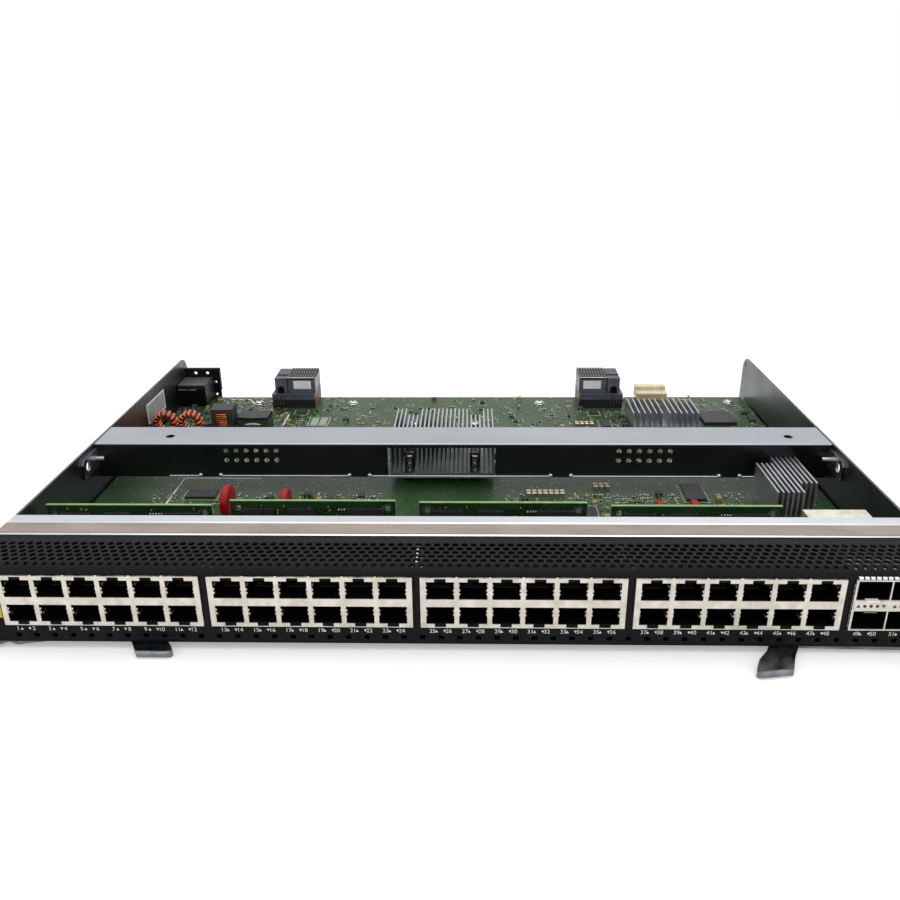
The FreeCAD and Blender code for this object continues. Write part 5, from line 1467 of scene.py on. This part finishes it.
def makeSmallParts():
    rng = random.Random(boardParts["seed"])
    bag, marks = newBag(), newBag()
    pitch = boardParts["groupPitch"]
    for x0, x1, y0, y1, count, chips, circuits in boardParts["fields"]:
        made, tries = 0, 0
        while made < count and tries < count * 6:
            tries += 1
            draw = rng.random()
            kind = "chip" if draw < chips else "circuit" if draw < chips + circuits else "block"
            reach = boardParts["reach"][kind]
            group = rng.choice((1, 1, 2, 3, 5)) if kind == "chip" else 1
            x, y = rng.uniform(x0, x1 - reach), rng.uniform(y0, y1 - reach)
            along = rng.random() < 0.6
            w = reach if not along else pitch * group + 0.6
            d = reach if along else pitch * group + 0.6
            if not isFree(x - 0.7, x + w, y - 1.6, y + d):
                continue
            reserve(x - 0.3, x + w - 0.3, y - 0.5, y + d - 0.3)
            stepX, stepY = (pitch, 0) if along else (0, pitch)
            for k in range(group):
                addSmallPart(bag, marks, rng, x + stepX * k, y + stepY * k, kind)
            made += group
    showBag(bag, "board_small_parts", ["solder", "tanCeramic", "mouldedEpoxy", "ferrite", "tanResin"])
    showBag(marks, "board_small_marks", ["whiteInk"])


bus = {
    "runs": 26,
    "pitch": 1.3,
    "start": -36,
    "shifts": (-14, 12),  # sideways step of the left and the right half
    "levels": (146, 118, 100, 78),
    "width": 0.55,
    "crossRuns": 18,
    "crossPitch": 1.25,
    "crossSlope": 0.7,
    "crossWidth": 0.5,
}


def makeTraces():
    bag = newBag()
    z, (y0, y1, y2, y3) = card["boardTop"], bus["levels"]
    for k in range(bus["runs"]):  # bus runs from the centre chip towards the jacks
        x = bus["start"] + k * bus["pitch"]
        far = x + bus["shifts"][0 if k < bus["runs"] / 2 else 1]
        route = ((x, y0), (x, y1), (far, y2), (far, y3))
        for start, end in zip(route, route[1:]):
            addStripe(bag, start, end, bus["width"], z)
    for k in range(bus["crossRuns"]):
        y = 104 + k * bus["crossPitch"]
        addStripe(bag, (-30 + bus["crossSlope"] * k, y), (-8, y), bus["crossWidth"], z)
    showBag(bag, "board_bus_runs", ["laminateTrace"])


reserveFitted()
makeBoardInk()
makeChipLegs()
makeSmallParts()
makeTraces()
print("board: done")

# daughter boards

daughter = {
    "seed": 5,
    "tries": 150,
    "dotStarts": (-151.4, -58.9, 34.4, 128.4),
    "dots": 8,
    "dotPitch": 1.42,
    "dotZ": 28.7,
    "dotSide": 0.72,
    "holeIn": 4.0,
    "ringRadii": (1.75, 2.9),
    "ringSides": 20,
    "chips": ((-27.0, 15.0), (-6.0, 13.0), (26.0, 18.0)),  # places across the board, and widths
    "partSizes": ((1.2, 0.6), (1.0, 0.5), (0.6, 1.1)),
}


def addUpright(parts, edges, rng, index):
    x0, x1, face, rear, low, high = spanOf(uprights[index])
    first, dotZ, s = daughter["dotStarts"][index], daughter["dotZ"], daughter["dotSide"] / 2
    sides, hole = daughter["ringSides"], daughter["holeIn"]
    addBrick(edges, x0, x1, face - 0.02, rear + 0.02, high - 0.25, high + 0.03)
    for x in (x0, x1):
        addBrick(edges, x - 0.03, x + 0.03, face - 0.02, rear + 0.02, low, high)
    for x in (x0 + hole, x1 - hole):  # tinned ring round each corner hole
        ring = [(x + r * a, face - 0.05, high - hole + r * b)
                for r in daughter["ringRadii"] for a, b in circle(sides)]
        addFaces(parts, ring, ringFaces(2, sides)[:sides], 1)
    for k in range(daughter["dots"]):  # row of bright test points
        x = first + daughter["dotPitch"] * k
        addBrick(parts, x - s, x + s, face - 0.25, face, dotZ - s, dotZ + s, 4)
    spots = []
    middle = (x0 + x1) / 2
    for _ in range(daughter["tries"]):
        x, z = rng.uniform(x0 + 7, x1 - 8), rng.uniform(low + 4, high - 2.4)
        clear = all(abs(x - a) > 1.5 or abs(z - b) > 1.1 for a, b in spots)
        onChip = any(abs(x - middle - off) < w / 2 + 1 and z < high - 3 for off, w in daughter["chips"])
        onDots = abs(x - first - 5) < 7 and abs(z - dotZ) < 1.4
        if not clear or onChip or onDots:
            continue
        spots.append((x, z))
        length, width = rng.choice(daughter["partSizes"])
        addBricks(parts, (x, x + length, face - 0.45, face, z, z + width, rng.choice((0, 2, 3))),
                  (x, x + length * 0.25, face - 0.5, face, z, z + width, 1))


def makeDaughterDetails():
    rng = random.Random(daughter["seed"])
    parts, edges = newBag(), newBag()
    for index in range(card["blocks"]):
        addUpright(parts, edges, rng, index)
    showBag(parts, "daughter_small_parts",
            ["mouldedEpoxy", "solder", "tanCeramic", "ferrite", "whiteInk"])
    showBag(edges, "daughter_lit_edges", ["laminateEdge"])


makeDaughterDetails()
print("daughter boards: done")
